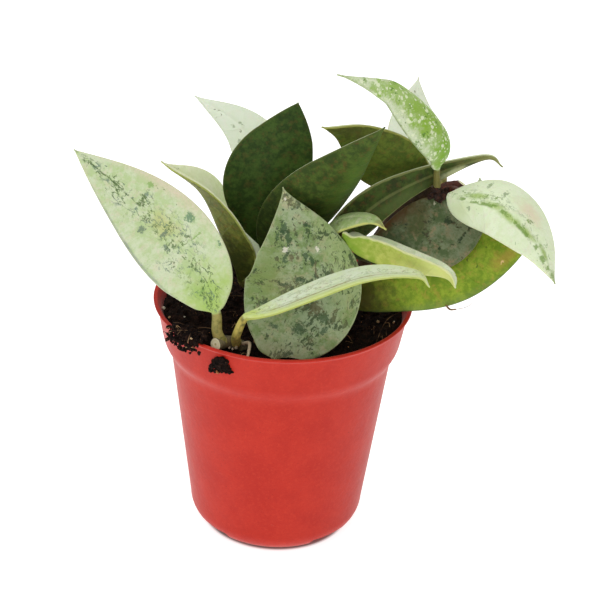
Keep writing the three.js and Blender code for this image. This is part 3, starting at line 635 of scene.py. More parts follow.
def mesh_piece(name, points, faces, slot, replaced=()):
    """A smooth-shaded mesh from points in millimetres, riding on the root."""
    mesh = bpy.data.meshes.new(name)
    mesh.from_pydata((np.asarray(points, float) * MM).tolist(), [], [list(map(int, f)) for f in faces])
    mesh.validate()
    mesh.shade_smooth()
    piece = add_object(name, mesh)
    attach(piece, "root")
    if replaced:
        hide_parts(*replaced)
    return piece


def add_attribute(piece, name, vectors):
    """Gives every point of the mesh a vector that its material can read."""
    attribute = piece.data.attributes.new(name, "FLOAT_VECTOR", "POINT")
    attribute.data.foreach_set("vector", np.asarray(vectors, np.float32).ravel())


def skin_faces(rings, sides):
    """The quads of a skin over rings of points, and a fan on a middle point at each end."""
    faces = []
    for i in range(rings - 1):
        for j in range(sides):
            a = i * sides + j
            b = i * sides + (j + 1) % sides
            faces.append((a, b, b + sides, a + sides))
    start_middle = rings * sides
    last = (rings - 1) * sides
    for j in range(sides):
        k = (j + 1) % sides
        faces.append((start_middle, k, j))
        faces.append((start_middle + 1, last + j, last + k))
    return faces


def with_middles(rings):
    """The rings' points in one list, with the middle of the first and of the last ring added."""
    middles = [rings[0].mean(0)[None], rings[-1].mean(0)[None]]
    return np.concatenate([rings.reshape(-1, rings.shape[-1]), *middles])


def ring_skin(name, rings, slot, replaced=()):
    """A piece that is a closed skin over rings of points."""
    return mesh_piece(name, with_middles(rings), skin_faces(len(rings), rings.shape[1]), slot, replaced)


def round_places(radius, angles):
    """Places at this distance from the upright axis, as x and y."""
    return [(radius * math.cos(a), radius * math.sin(a)) for a in angles]


def even_angles(count):
    """Angles all round in even steps."""
    return np.linspace(0, 2 * math.pi, count, endpoint=False)


def merged(meshes):
    """The points and faces of many meshes, as those of one."""
    points, faces, first = [], [], 0
    for own_points, own_faces in meshes:
        points.append(own_points)
        faces += [[k + first for k in face] for face in own_faces]
        first += len(own_points)
    return np.concatenate(points), faces


def turned_frames(directions, side_at_end):
    """Side vectors along a line that turn with it as little as they can, given the last one."""
    sides = np.zeros_like(directions)
    side = np.asarray(side_at_end, float)
    for k in range(len(directions) - 1, -1, -1):
        side = unit(side - directions[k] * (side @ directions[k]))
        sides[k] = side
    return sides


# Leaves


def half_width(leaf, s, least):
    """The blade's half width from base (s = 0) to tip (s = 1), never under the least one."""
    widest, taper = leaf["widest"], leaf["taper"]
    power = widest * taper / (1 - widest)
    peak = widest**power * (1 - widest) ** taper
    formed = leaf["width"] / 2 * s**power * (1 - s) ** taper / peak
    if leaf.get("round_base"):
        bow = leaf["width"] / 2 * np.sqrt(np.clip(1 - (1 - s / widest) ** 2, 0, 1))
        formed = np.where(s < widest, bow, formed)
    return np.maximum(formed, least + (TIP_HALF_WIDTH - least) * s)


def section(v, fold, curl):
    """How far out and up a half's section runs at v, and its angle there, for a half one unit wide."""
    start, turn = math.radians(fold), math.radians(curl)
    angle = start + turn * v
    return (np.sin(angle) - math.sin(start)) / turn, (math.cos(start) - np.cos(angle)) / turn, angle


def across_columns(half):
    """Signed places across each row, and how much of the thickness is left as the margin rounds over."""
    edge = np.minimum(0.5, EDGE_THICKNESS / 2 / half)[:, None]
    turn = np.linspace(0, math.pi / 2, ROUND_COLUMNS + 1)[None, 1:]
    inner = np.linspace(0, 1, INNER_COLUMNS + 1)[None]
    v = np.concatenate([(1 - edge) * inner, 1 - edge + edge * np.sin(turn)], 1)
    body = np.concatenate([np.ones_like(inner), np.cos(turn)], 1).repeat(len(half), 0)
    mirrored = slice(None, 0, -1)
    return np.concatenate([-v[:, mirrored], v], 1), np.concatenate([body[:, mirrored], body], 1)


def blade_relief(leaf, v, s, half, rib_depth, seed):
    """The blade's slight wave, the groove on its upper side and the rib on its lower side."""
    across = v * half
    fade = smooth(s, 0, 0.12) * (1 - smooth(s, 0.8, 1))
    phase = 1.7 * seed
    long_wave = 0.11 * np.sin(9 * s + phase + 1.3 * np.sign(v))
    short_wave = 0.05 * np.sin(23 * s + 2.3 * phase - np.sign(v))
    wave = (long_wave + short_wave) * v**2 * fade * leaf["width"] / WAVE_WIDTH
    groove = GROOVE_DEPTH * np.exp(-((across / GROOVE_REACH) ** 2)) * fade
    rib = rib_depth * np.exp(-((across / RIB_REACH) ** 2)) * (1 - s) ** 0.8
    return wave, groove, rib


def ring_values(upper, lower):
    """The values of a ring's points: the upper side's from margin to margin, then the lower side's back."""
    return np.concatenate([upper, lower[:, -2:0:-1]], 1)


def ring_vectors(*pairs):
    """A vector for each of the rings' points, from pairs of values for the upper and the lower side."""
    return np.stack([ring_values(*pair) for pair in pairs], -1)


def blade_rings(leaf, root_radius, rib_depth, seed, direction_at_base=None):
    """The blade as closed rings from base to tip, and what its material reads at each point.

    That is the flat place in centimetres, the place across and along with the side, and the way to the
    margin in millimetres.
    """
    line = Line(leaf["midrib"])
    t = np.linspace(0, 1, BLADE_ROWS + 1)
    s = np.clip(t - ROW_CROWDING * np.sin(2 * math.pi * t), 0, 1)[:, None]
    centre, tangent = line.at(s[:, 0]), line.direction(s[:, 0])
    if direction_at_base is not None:
        turned = smooth(s, 0, BASE_TURN)
        tangent = unit(direction_at_base * (1 - turned) + tangent * turned)
    face = unit(leaf["face"][0]) * (1 - s) + unit(leaf["face"][1]) * s
    side = unit(np.cross(tangent, face))
    up = np.cross(side, tangent)
    half = half_width(leaf, s, root_radius)
    v, body = across_columns(half[:, 0])
    out, rise, angle = section(np.abs(v), leaf["fold"], leaf["curl"])
    sign = np.sign(v)
    normal = up[:, None] * np.cos(angle)[..., None] - side[:, None] * (sign * np.sin(angle))[..., None]
    out, rise = (sign * out * half)[..., None], (rise * half)[..., None]
    middle = centre[:, None] + side[:, None] * out + up[:, None] * rise
    thick = EDGE_THICKNESS + (BLADE_THICKNESS - EDGE_THICKNESS) * (1 - v**2) * np.sqrt(1 - s)
    thick = thick * (1 - TIP_THINNING * smooth(s, TIP_START, 1))
    swell = (1 - smooth(s, 0, BASE_SWELL)) * np.exp(-((v * half / root_radius / SWELL_REACH) ** 2))
    thick = (thick + (2 * root_radius - thick) * swell) * body
    wave, groove, rib = blade_relief(leaf, v, s, half, rib_depth, seed)
    upper = middle + normal * (wave + thick / 2 - groove * body)[..., None]
    lower = middle + normal * (wave - thick / 2 - rib * body)[..., None]

    s_all, side_up, side_low = s + 0 * v, 0.5 + body / 2, 0.5 - body / 2
    flat_across, flat_along = v * half / CM, s_all * line.length / CM
    flat = ring_vectors((flat_across,) * 2, (flat_along,) * 2, (0 * v, 2 * (1 - side_low)))
    place = ring_vectors((v, v), (s_all, s_all), (side_up, side_low))
    rim = ring_vectors(*[((1 - np.abs(v)) * half,) * 2] * 3)
    return ring_values(upper, lower), (flat, place, rim), side[0], v[0]


def stalk_radius(leaf, shares):
    """The petiole's radius at these shares of its line, which ends a little inside the blade."""
    start = leaf.get("stalk", PETIOLE_RADIUS)
    return start + (PETIOLE_END_RADIUS - start) * shares**PETIOLE_THINNING


def petiole_rings(leaf, v_base, side_at_base, share_at_base, line):
    """The petiole as closed rings from inside its stem to the blade's base."""
    shares = np.linspace(0, share_at_base, PETIOLE_ROWS + 1)[:-1]
    centre, tangent = line.at(shares), line.direction(shares)
    side = turned_frames(tangent, side_at_base)
    up = np.cross(side, tangent)
    distance = shares * line.length
    radius = stalk_radius(leaf, shares) + FOOT_SWELL * np.exp(-((distance / FOOT_REACH) ** 2))
    v = v_base[None].repeat(len(shares), 0)
    height = np.sqrt(np.maximum(0, 1 - v**2))
    out = (radius[:, None] * v)[..., None] * side[:, None]
    rise = (radius[:, None] * height)[..., None] * up[:, None]
    rings = ring_values(centre[:, None] + out + rise, centre[:, None] + out - rise)
    before = (distance[-1] - distance + 0.5)[:, None] + 0 * v
    across, along = v * radius[:, None] / CM, -before / CM
    flat = ring_vectors((across, across), (along, along), (0 * v, 0 * v + 2))
    place = ring_vectors((v, v), (along, along), (0.5 + height / 2, 0.5 - height / 2))
    return rings, (flat, place, 0 * place + 1)


def leaf_skin(name, rings, places, slot, replaced=()):
    """A closed skin over a leaf's rings, with the places that its material reads."""
    piece = ring_skin(name, rings, slot, replaced)
    for attribute, values in zip(("leaf_flat", "leaf_place", "leaf_rim"), places):
        add_attribute(piece, attribute, with_middles(values))
    return piece


def make_leaf(name, leaf, rib_depth, seed):
    """A leaf as one skin from the foot of its petiole to its tip, or two that are joined into one."""
    midrib = Line(leaf["midrib"])
    join = leaf.get("join", 0)
    line = Line([*leaf["petiole"], *midrib.at([join, join + 0.1]).tolist()])
    shares = np.linspace(0, 1, 401)
    gap = np.linalg.norm(line.at(shares) - midrib.at([join])[0], axis=1)
    share_at_base = shares[gap.argmin()]
    radius = stalk_radius(leaf, share_at_base)
    if join:
        rings, places, side, v_base = blade_rings(leaf, radius, rib_depth, seed)
        piece = leaf_skin(name + "_fine", rings, places, leaf["slot"], [name])
        rings, places = petiole_rings(leaf, v_base, side, share_at_base, line)
        cut_or_join(piece, leaf_skin(name + "_stalk", rings, places, leaf["slot"]), "UNION")
        return piece
    direction = line.direction([share_at_base])[0]
    rings, places, side, v_base = blade_rings(leaf, radius, rib_depth, seed, direction)
    stalk, stalk_places = petiole_rings(leaf, v_base, side, share_at_base, line)
    places = [np.concatenate(pair) for pair in zip(stalk_places, places)]
    return leaf_skin(name + "_fine", np.concatenate([stalk, rings]), places, leaf["slot"], [name])


def point_vectors(mesh):
    """The mesh's points and the vectors that were added to them, by name."""
    points = np.zeros(3 * len(mesh.vertices), np.float32)
    mesh.vertices.foreach_get("co", points)
    vectors = {}
    for attribute in mesh.attributes:
        of_points = attribute.data_type == "FLOAT_VECTOR" and attribute.domain == "POINT"
        if of_points and attribute.name != "position":
            values = np.zeros(3 * len(mesh.vertices), np.float32)
            attribute.data.foreach_get("vector", values)
            vectors[attribute.name] = values.reshape(-1, 3)
    return points.reshape(-1, 3), vectors


def cut_or_join(piece, other, operation):
    """Joins the other mesh to the piece, or cuts it out of it, and removes it.

    The points' vectors are lost on the way, so each point takes its own from the nearest old point.
    """
    (points, vectors), (other_points, other_vectors) = point_vectors(piece.data), point_vectors(other.data)
    modifier = piece.modifiers.new("cut", "BOOLEAN")
    modifier.object = other
    modifier.operation = operation
    modifier.solver = "EXACT"
    bpy.context.view_layer.update()
    depsgraph = bpy.context.evaluated_depsgraph_get()
    evaluated = piece.evaluated_get(depsgraph)
    made = bpy.data.meshes.new_from_object(evaluated, preserve_all_data_layers=True, depsgraph=depsgraph)
    piece.modifiers.clear()
    piece.data = made
    bpy.data.objects.remove(other)
    if not vectors:
        return
    old_points = np.concatenate([points, other_points])
    tree = KDTree(len(old_points))
    for index, point in enumerate(old_points):
        tree.insert(point, index)
    tree.balance()
    nearest = [tree.find(vertex.co)[1] for vertex in made.vertices]
    for name, values in vectors.items():
        if name in made.attributes:
            made.attributes.remove(made.attributes[name])
        add_attribute(piece, name, np.concatenate([values, other_vectors[name]])[nearest])


# Pot


def arc_points(centre, radius, start, end, count):
    """Points on a round corner of the pot's profile, from one angle to another."""
    angles = np.radians(np.linspace(start, end, count))
    return [(centre[0] + radius * math.cos(a), centre[1] + radius * math.sin(a)) for a in angles]


def rounded(profile, corners, steps=5):
    """The profile with each named corner cut by a small curve of the given reach."""
    points = []
    for k, point in enumerate(profile):
        reach = corners.get(k)
        if reach is None:
            points.append(point)
            continue
        here = np.array(point, float)
        back = here + unit(np.array(profile[k - 1], float) - here) * reach
        on = here + unit(np.array(profile[k + 1], float) - here) * reach
        for t in np.linspace(0, 1, steps):
            points.append(tuple((1 - t) ** 2 * back + 2 * t * (1 - t) * here + t * t * on))
    return points


def pot_profile():
    """The pot's section, as distance from the axis and height: up the outside and down the inside."""
    corner = arc_points((BODY_BASE_RADIUS - CORNER_RADIUS, CORNER_RADIUS), CORNER_RADIUS, -90, 0, 14)
    outside = [
        (BODY_TOP_RADIUS, BODY_TOP), (COLLAR_BASE_RADIUS, COLLAR_BASE), (COLLAR_TOP_RADIUS, COLLAR_TOP),
        (LIP_RADIUS, POT_HEIGHT - 0.4), (LIP_RADIUS, POT_HEIGHT), (LIP_RADIUS - POT_WALL, POT_HEIGHT),
        (COLLAR_TOP_RADIUS - POT_WALL, COLLAR_TOP - 0.4),
        (COLLAR_BASE_RADIUS - POT_WALL, COLLAR_BASE + 0.4), (BODY_TOP_RADIUS - POT_WALL, BODY_TOP + 0.4),
        (BODY_BASE_RADIUS - POT_WALL, CORNER_RADIUS + 1), (BODY_BASE_RADIUS - POT_WALL - 3, POT_FLOOR),
        (0, POT_FLOOR),
    ]
    profile = [(0, 0), *corner, *outside]
    first = 1 + len(corner)
    return rounded(profile, {first + k: reach for k, reach in enumerate(PROFILE_REACHES)})


def lathe(profile, sides):
    """The points and faces of a profile turned round the upright axis, closed on the axis at both ends."""
    angles = even_angles(sides)
    rings = [[(x, y, z) for x, y in round_places(r, angles)] for r, z in profile[1:-1]]
    points = np.array(rings).reshape(-1, 3)
    points = np.concatenate([points, [[0, 0, profile[0][1]], [0, 0, profile[-1][1]]]])
    return points, skin_faces(len(rings), sides)


def notch_tool(angle):
    """A bar with rounded long edges that cuts one drain notch under the base."""
    tool = bmesh.new()
    bmesh.ops.create_cube(tool, size=1)
    bmesh.ops.scale(tool, vec=Vector((NOTCH_LENGTH, NOTCH_WIDTH, 2 * NOTCH_HEIGHT)) * MM, verts=tool.verts)
    long_edges = [e for e in tool.edges if abs(e.verts[0].co.x - e.verts[1].co.x) > 1e-6]
    bmesh.ops.bevel(
        tool, geom=long_edges, offset=NOTCH_ROUNDING * MM, segments=4, affect="EDGES", profile=0.5,
    )
    bmesh.ops.translate(tool, vec=Vector((NOTCH_START + NOTCH_LENGTH / 2, 0, 0)) * MM, verts=tool.verts)
    drain_at = Matrix.Translation(Vector((NOTCH_START + DRAIN_RADIUS + 0.5, 0, 0)) * MM)
    bmesh.ops.create_cone(
        tool, cap_ends=True, segments=32, radius1=DRAIN_RADIUS * MM, radius2=DRAIN_RADIUS * MM,
        depth=4 * POT_FLOOR * MM, matrix=drain_at,
    )
    bmesh.ops.rotate(tool, cent=(0, 0, 0), matrix=Matrix.Rotation(angle, 3, "Z"), verts=tool.verts)
    return add_built("notch", tool)


def make_pot():
    """The turned cup with its drain notches."""
    points, faces = lathe(pot_profile(), POT_SIDES)
    pot = mesh_piece("pot_fine", points, faces, "pot_plastic", ["pot"])
    for k in range(NOTCH_COUNT):
        cut_or_join(pot, notch_tool(math.radians(NOTCH_FIRST_ANGLE + 360 / NOTCH_COUNT * k)), "DIFFERENCE")
    pot.data.set_sharp_from_angle(angle=math.radians(SHARP_ANGLE))
    return pot


# Soil


def even_draws(seed):
    """Small even random draws that are the same every time."""
    state = seed
    while True:
        state = state * DRAW_FACTOR % DRAW_LIMIT
        yield state / DRAW_LIMIT


def soil_mounds():
    """Each mound's place, spread and height."""
    draw = even_draws(SOIL_SEED)
    mounds = []
    for _ in range(SOIL_MOUNDS):
        angle = 2 * math.pi * next(draw)
        distance = MOUND_REACH * math.sqrt(next(draw))
        spread = MOUND_SPREAD + MOUND_MORE * next(draw)
        height = MOUND_RISE * next(draw) - MOUND_SINK
        mounds.append((distance * math.cos(angle), distance * math.sin(angle), spread, height))
    return [*mounds, HEAP_MOUND]


MOUNDS = soil_mounds()


def soil_height(x, y):
    """The height of the peat, with its lumps."""
    height = SOIL_TOP
    for at_x, at_y, spread, rise in MOUNDS:
        height += rise * math.exp(-((x - at_x) ** 2 + (y - at_y) ** 2) / spread**2)
    lumps = noise.fractal(Vector((x, y, 3)) * LUMP_SCALE, 1.0, 2.1, 4)
    grains = noise.noise(Vector((x, y, 9)) * GRAIN_SCALE)
    return height + LUMP_HEIGHT * lumps + GRAIN_HEIGHT * grains


def make_soil():
    """The body of the peat: lumpy on top, and plain where the pot holds it."""
    angles = even_angles(SOIL_SIDES)
    inset = POT_WALL + 0.2
    wall = [
        (BODY_BASE_RADIUS - inset - 3, POT_FLOOR + 0.1), (BODY_BASE_RADIUS - inset, CORNER_RADIUS + 1),
        (BODY_TOP_RADIUS - inset, BODY_TOP + 0.4), (COLLAR_BASE_RADIUS - inset, COLLAR_BASE + 0.4),
    ]
    rings = [[(x, y, z) for x, y in round_places(r, angles)] for r, z in wall]
    for k in range(SOIL_RINGS, 0, -1):
        ring = round_places(SOIL_RADIUS * k / SOIL_RINGS, angles)
        rings.append([(x, y, soil_height(x, y)) for x, y in ring])
    return ring_skin("soil_fine", np.array(rings), "peat", ["soil"])


def crumb_shape(seed, subdivisions):
    """An angular lump about one unit in radius."""
    lump = bmesh.new()
    bmesh.ops.create_icosphere(lump, subdivisions=subdivisions, radius=1)
    for vertex in lump.verts:
        swell = noise.noise(vertex.co * 1.6 + Vector((seed, 0, 0)))
        vertex.co *= 1 + CRUMB_SWELL * swell
    points = np.array([v.co for v in lump.verts])
    faces = [[v.index for v in f.verts] for f in lump.faces]
    lump.free()
    return points, faces


def random_turns(random, count):
    """Random rotations, as matrices."""
    q = unit(random.normal(size=(count, 4)))
    w, x, y, z = q.T
    return np.stack([
        np.stack([1 - 2 * (y * y + z * z), 2 * (x * y - z * w), 2 * (x * z + y * w)], -1),
        np.stack([2 * (x * y + z * w), 1 - 2 * (x * x + z * z), 2 * (y * z - x * w)], -1),
        np.stack([2 * (x * z - y * w), 2 * (y * z + x * w), 1 - 2 * (x * x + y * y)], -1),
    ], 1)


def crumbs(name, places, sizes, slot, seed, smoothed=False):
    """Lumps at these places, of these radii, as one piece: angular ones, or smooth ones."""
    random = np.random.default_rng(seed)
    shapes = [crumb_shape(7.3 * k + seed, 3 if smoothed else 2) for k in range(CRUMB_SHAPES)]
    turns = random_turns(random, len(places))
    squeeze = random.uniform(0.45, 1, (len(places), 3))
    lumps = []
    for k, (place, size) in enumerate(zip(places, sizes)):
        shape, faces = shapes[k % len(shapes)]
        lumps.append(((shape * squeeze[k]) @ turns[k].T * size + place, faces))
    piece = mesh_piece(name, *merged(lumps), slot)
    if not smoothed:
        piece.data.shade_flat()
    return piece


def peat_places(random, count, low, high):
    """Random places on the peat's top, between two distances from the axis."""
    radius = np.sqrt(random.uniform(low**2, high**2, count))
    angle = np.radians(random.uniform(0, 360, count))
    x, y = radius * np.cos(angle), radius * np.sin(angle)
    return np.array([(a, b, soil_height(a, b)) for a, b in zip(x, y)])


def rim_places(random, count):
    """Random places in the heap that lies over the rim at the front left."""
    angle = np.radians(random.triangular(*HEAP_ANGLES, count))
    radius = random.normal(HEAP_RADIUS, 1, count).clip(*HEAP_RADII)
    over = np.maximum(0, radius - HEAP_SLOPE_OUT)
    inside = np.maximum(0, HEAP_SLOPE_IN - radius)
    rise = HEAP_RISE * random.random(count) ** 1.2
    height = POT_HEIGHT + rise - HEAP_FALL_OUT * over - HEAP_FALL_IN * inside
    return np.stack([radius * np.cos(angle), radius * np.sin(angle), height], -1)


def collar_places(random, count):
    """Random places in the clump on the collar's outside, aslant and wider towards its bottom."""
    height = random.uniform(CLUMP_BOTTOM, CLUMP_TOP, count)
    down = (CLUMP_TOP - height) / (CLUMP_TOP - CLUMP_BOTTOM)
    turn = (CLUMP_HALF_WIDTH + CLUMP_WIDENING * down) * random.uniform(-1, 1, count) - down
    angle = np.radians(CLUMP_ANGLE + turn)
    height += CLUMP_SLANT * turn
    slope = (COLLAR_TOP_RADIUS - COLLAR_BASE_RADIUS) / (COLLAR_TOP - COLLAR_BASE)
    radius = COLLAR_BASE_RADIUS + slope * (height - COLLAR_BASE) + random.uniform(0, 0.5, count)
    return np.stack([radius * np.cos(angle), radius * np.sin(angle), height], -1)


def make_crumbs():
    """The loose peat: all over the top, over the rim at the front left, and stuck to the collar."""
    seed, shape_seed = CRUMB_SEEDS
    random = np.random.default_rng(seed)
    top = peat_places(random, TOP_CRUMBS, *TOP_REACH)
    (least, more), (stuck_least, stuck_more) = TOP_SIZES, STUCK_SIZES
    sizes = least + more * random.random(len(top)) ** 3
    top[:, 2] += 0.3 * sizes
    stuck = np.concatenate([rim_places(random, HEAP_CRUMBS), collar_places(random, CLUMP_CRUMBS)])
    stuck_sizes = stuck_least + stuck_more * random.random(len(stuck)) ** 2
    places = np.concatenate([top, stuck])
    return crumbs("peat_crumbs", places, np.concatenate([sizes, stuck_sizes]), "peat", shape_seed)


def make_bits():
    """The light bits in the peat: the ones that stand out, and small ones all over."""
    seed, shape_seed = BIT_SEEDS
    random = np.random.default_rng(seed)
    small = peat_places(random, SMALL_BITS, *BIT_REACH)
    small[:, 2] += 0.15
    places = [*[place for place, _ in LIGHT_BITS], *small]
    sizes = [*[size for _, size in LIGHT_BITS], *random.uniform(0.1, 0.24, len(small))]
    return crumbs("peat_bits", places, sizes, "peat", shape_seed)


def make_fibres():
    """Fine roots and peat fibres, as thin tubes."""
    random = np.random.default_rng(FIBRE_SEED)
    paths = list(FINE_ROOTS)
    for place in [*peat_places(random, TOP_FIBRES, *FIBRE_REACH), *rim_places(random, HEAP_FIBRES)]:
        turn, reach = random.uniform(0, 2 * math.pi), random.uniform(0.8, 2.2)
        way = np.array([math.cos(turn), math.sin(turn), 0.1])
        bend = random.normal(0, 0.35, 3)
        ends = [place - way * reach, place + (0, 0, 0.7) + bend, place + way * reach]
        paths.append((ends, random.uniform(0.06, 0.13)))
    tubes = []
    for path, radius in paths:
        rings = ring_tube(path, [radius, radius * 0.6], FIBRE_SIDES, FIBRE_ROWS)
        tubes.append((with_middles(rings), skin_faces(len(rings), FIBRE_SIDES)))
    return mesh_piece("peat_fibres", *merged(tubes), "peat")


# Stems


def ring_tube(path, radii, sides, steps):
    """Rings of points along a smooth line, with the radius read from a list by share of length."""
    line = Line(path)
    shares = np.linspace(0, 1, steps + 1)
    centre, tangent = line.at(shares), line.direction(shares)
    side = turned_frames(tangent, (0.3, 0.9, 0.1))
    up = np.cross(side, tangent)
    radius = np.interp(shares, np.linspace(0, 1, len(radii)), radii)[:, None, None]
    angle = even_angles(sides)[None, :, None]
    return centre[:, None] + radius * (np.cos(angle) * side[:, None] + np.sin(angle) * up[:, None])


def stem_rings(stem, is_branch):
    """A stem's rings with a cut end, and each point's share along, share out from the middle, and kind."""
    line = Line(stem["path"])
    steps = max(16, int(line.length / STEM_ROW))
    rings = ring_tube(stem["path"], [stem["radius"], stem["end_radius"]], STEM_SIDES, steps)
    middle = rings.mean(1, keepdims=True)
    swell = np.array([[1 + STEM_SWELL * noise.noise(Vector(p) * 0.8) for p in ring] for ring in rings])
    rings = middle + (rings - middle) * swell[..., None]
    shares = np.linspace(0, 1, steps + 1)
    near_end = smooth((shares - 1) * line.length, -3, 0)[:, None]
    height = (rings - middle)[..., 2]
    rings -= (stem.get("slant", 0) * near_end * height)[..., None] * line.direction([1.0])[0]
    centre = rings[-1].mean(0)
    caps = np.array([centre + (rings[-1] - centre) * share for share in CUT_RINGS])
    along = np.concatenate([shares, np.ones(len(caps))])
    out = np.concatenate([np.ones(len(shares)), CUT_RINGS])
    place = np.stack([along, out, np.full(len(along), float(is_branch))], -1)
    return np.concatenate([rings, caps]), place[:, None].repeat(STEM_SIDES, 1)


def stem_skin(name, stem, is_branch, replaced=()):
    """A closed skin over a stem's or branch's rings, with the places that its material reads."""
    rings, place = stem_rings(stem, is_branch)
    piece = ring_skin(name, rings, "stem_bark", replaced)
    places = with_middles(place)
    places[-1, 1] = 0
    add_attribute(piece, "stem_place", places)
    return piece


def make_stem(name, stem):
    """A stem, joined with its branch where it has one."""
    piece = stem_skin(name + "_fine", stem, False, [name])
    if "branch" in stem:
        cut_or_join(piece, stem_skin(name + "_branch", stem["branch"], True), "UNION")
    return piece


def make_lumps(name, lumps):
    """Smooth small lumps of stem tissue: the right stem's knot, or the cut stem's nubs."""
    places, sizes = zip(*lumps)
    return crumbs(name, np.array(places), sizes, "stem_bark", LUMP_SEED, smoothed=True)


# Materials


def linear(colour):
    """An sRGB colour, 0 to 255 a channel, as the linear values that a shader takes."""
    shares = [c / 255 for c in colour]
    return [c / 12.92 if c <= 0.04045 else ((c + 0.055) / 1.055) ** 2.4 for c in shares] + [1]


class Look:
    """One material, with short names for the nodes that make its pattern.

    A grain is a noise's scale, detail, roughness and distortion, or the first few of them.
    """

    def __init__(self, name):
        self.material = bpy.data.materials.new(name)
        self.material.use_nodes = True
        self.tree = self.material.node_tree
        self.tree.nodes.clear()

    def node(self, kind, inputs=None, **settings):
        made = self.tree.nodes.new("ShaderNode" + kind)
        for key, value in settings.items():
            setattr(made, key, value)
        for key, value in (inputs or {}).items():
            self.put(made.inputs[key], value)
        return made

    def put(self, socket, value):
        """Links the socket to an output, or sets its own value."""
        if isinstance(value, bpy.types.NodeSocket):
            self.tree.links.new(value, socket)
        else:
            socket.default_value = value

    def math(self, operation, first, second=0.0):
        return self.node("Math", {0: first, 1: second}, operation=operation).outputs[0]

    def times(self, first, *others):
        for other in others:
            first = self.math("MULTIPLY", first, other)
        return first

    def plus(self, first, *others):
        for other in others:
            first = self.math("ADD", first, other)
        return first

    def minus(self, first, second):
        return self.math("SUBTRACT", first, second)

    def size(self, value):
        """The value without its sign."""
        return self.math("ABSOLUTE", value)

    def step(self, value, low, high):
        """0 at low, 1 at high, and a smooth change between."""
        inputs = {"Value": value, "From Min": low, "From Max": high}
        return self.node("MapRange", inputs, interpolation_type="SMOOTHSTEP").outputs["Result"]

    def mix(self, share, first, second):
        """The first colour where the share is 0 and the second where it is 1."""
        made = self.node("Mix", data_type="RGBA")
        for index, value in ((0, share), (6, first), (7, second)):
            value = linear(value) if isinstance(value, tuple) else value
            self.put(made.inputs[index], value)
        return made.outputs[2]

    def painted(self, colour, paint, share, strength=1):
        """The colour with another over it, as far as the share and the strength say."""
        if strength != 1:
            share = self.times(share, strength)
        return self.mix(share, colour, paint)

    def vector(self, attribute):
        return self.node("Attribute", attribute_name=attribute).outputs["Vector"]

    def split(self, vector):
        return self.node("SeparateXYZ", {0: vector}).outputs

    def moved(self, vector, location=(0, 0, 0), scale=(1, 1, 1)):
        return self.node("Mapping", {"Vector": vector, "Location": location, "Scale": scale}).outputs[0]

    def added(self, first, second):
        return self.node("VectorMath", {0: first, 1: second}, operation="ADD").outputs[0]

    def length(self, vector):
        return self.node("VectorMath", {0: vector}, operation="LENGTH").outputs["Value"]

    def object_place(self, scale=100):
        """Places on the object, in centimetres unless another scale is given."""
        return self.moved(self.node("TexCoord").outputs["Object"], scale=(scale,) * 3)

    def noise(self, vector, *grain):
        inputs = {"Vector": vector, **dict(zip(("Scale", "Detail", "Roughness", "Distortion"), grain))}
        return self.node("TexNoise", inputs).outputs[0]

    def patches(self, vector, grain, low, high):
        """0 where a noise is at low, 1 where it is at high."""
        return self.step(self.noise(vector, *grain), low, high)

    def sway(self, vector, grain, reach):
        """A noise about zero, with this reach from end to end."""
        return self.times(self.minus(self.noise(vector, *grain), 0.5), reach)

    def noise_vector(self, vector, scale):
        """A noise that differs in each direction, from 0 to 1."""
        return self.node("TexNoise", {"Vector": vector, "Scale": scale}).outputs["Color"]

    def dots(self, vector, scale, size):
        """1 in small round dots, one a cell, and 0 between them."""
        distance = self.node("TexVoronoi", {"Vector": vector, "Scale": scale}).outputs["Distance"]
        return self.step(distance, size, size * DOT_CORE)

    def layered(self, place, base, layers):
        """The base colour with layers of patches over it, some of them at a shifted place."""
        colour = base
        for grain, low, high, paint, strength, *shift in layers:
            at = self.moved(place, location=shift[0]) if shift else place
            colour = self.painted(colour, paint, self.patches(at, grain, low, high), strength)
        return colour

    def surface(self, colour, rough, gloss, relief=None, depth=0, **others):
        """The surface shader, with a relief of this depth in millimetres, and other inputs by name."""
        inputs = {"Base Color": colour, "Roughness": rough, "Specular IOR Level": gloss}
        if relief is not None:
            bump = self.node("Bump", {"Height": relief, "Distance": depth * MM, "Strength": 1.0})
            inputs["Normal"] = bump.outputs[0]
        inputs.update({key.replace("_", " "): value for key, value in others.items()})
        self.node("OutputMaterial", {"Surface": self.node("BsdfPrincipled", inputs).outputs[0]})
        return self.material


def oval_share(m, place, ragged, oval, start, end):
    """1 inside an oval on the blade and 0 outside, with an edge that the given noise makes ragged."""
    across, along, reach_across, reach_along = oval
    scale = (1 / reach_across, 1 / reach_along, 0)
    location = (-across / reach_across, -along / reach_along, 0)
    distance = m.length(m.moved(place, location, scale))
    return m.step(m.plus(distance, ragged), start, end)


def paint_zones(m, colour, place, spot, zones):
    """Soft ovals of another colour, each at its own place on the blade."""
    if not zones:
        return colour
    ragged = m.sway(spot, (3.5, 4, 0.65), ZONE_FRAYING)
    for *oval, paint, strength in zones:
        colour = m.painted(colour, paint, oval_share(m, place, ragged, oval, *ZONE_EDGE), strength)
    return colour


def paint_marks(m, colour, place, spot, marks):
    """Small ragged blotches, in sets of one colour, on places that a noise bends a little."""
    if not marks:
        return colour
    ragged = m.sway(spot, (22, 4, 0.7), MARK_FRAYING)
    bend = m.moved(m.noise_vector(spot, 7), location=(-0.1, -0.025, 0), scale=(0.2, 0.05, 0))
    bent = m.added(place, bend)
    for paint, *ovals in marks:
        share = 0.0
        for oval in ovals:
            share = m.math("MAXIMUM", oval_share(m, bent, ragged, oval, *MARK_EDGE), share)
        colour = m.painted(colour, paint, share, MARK_STRENGTH)
    return colour


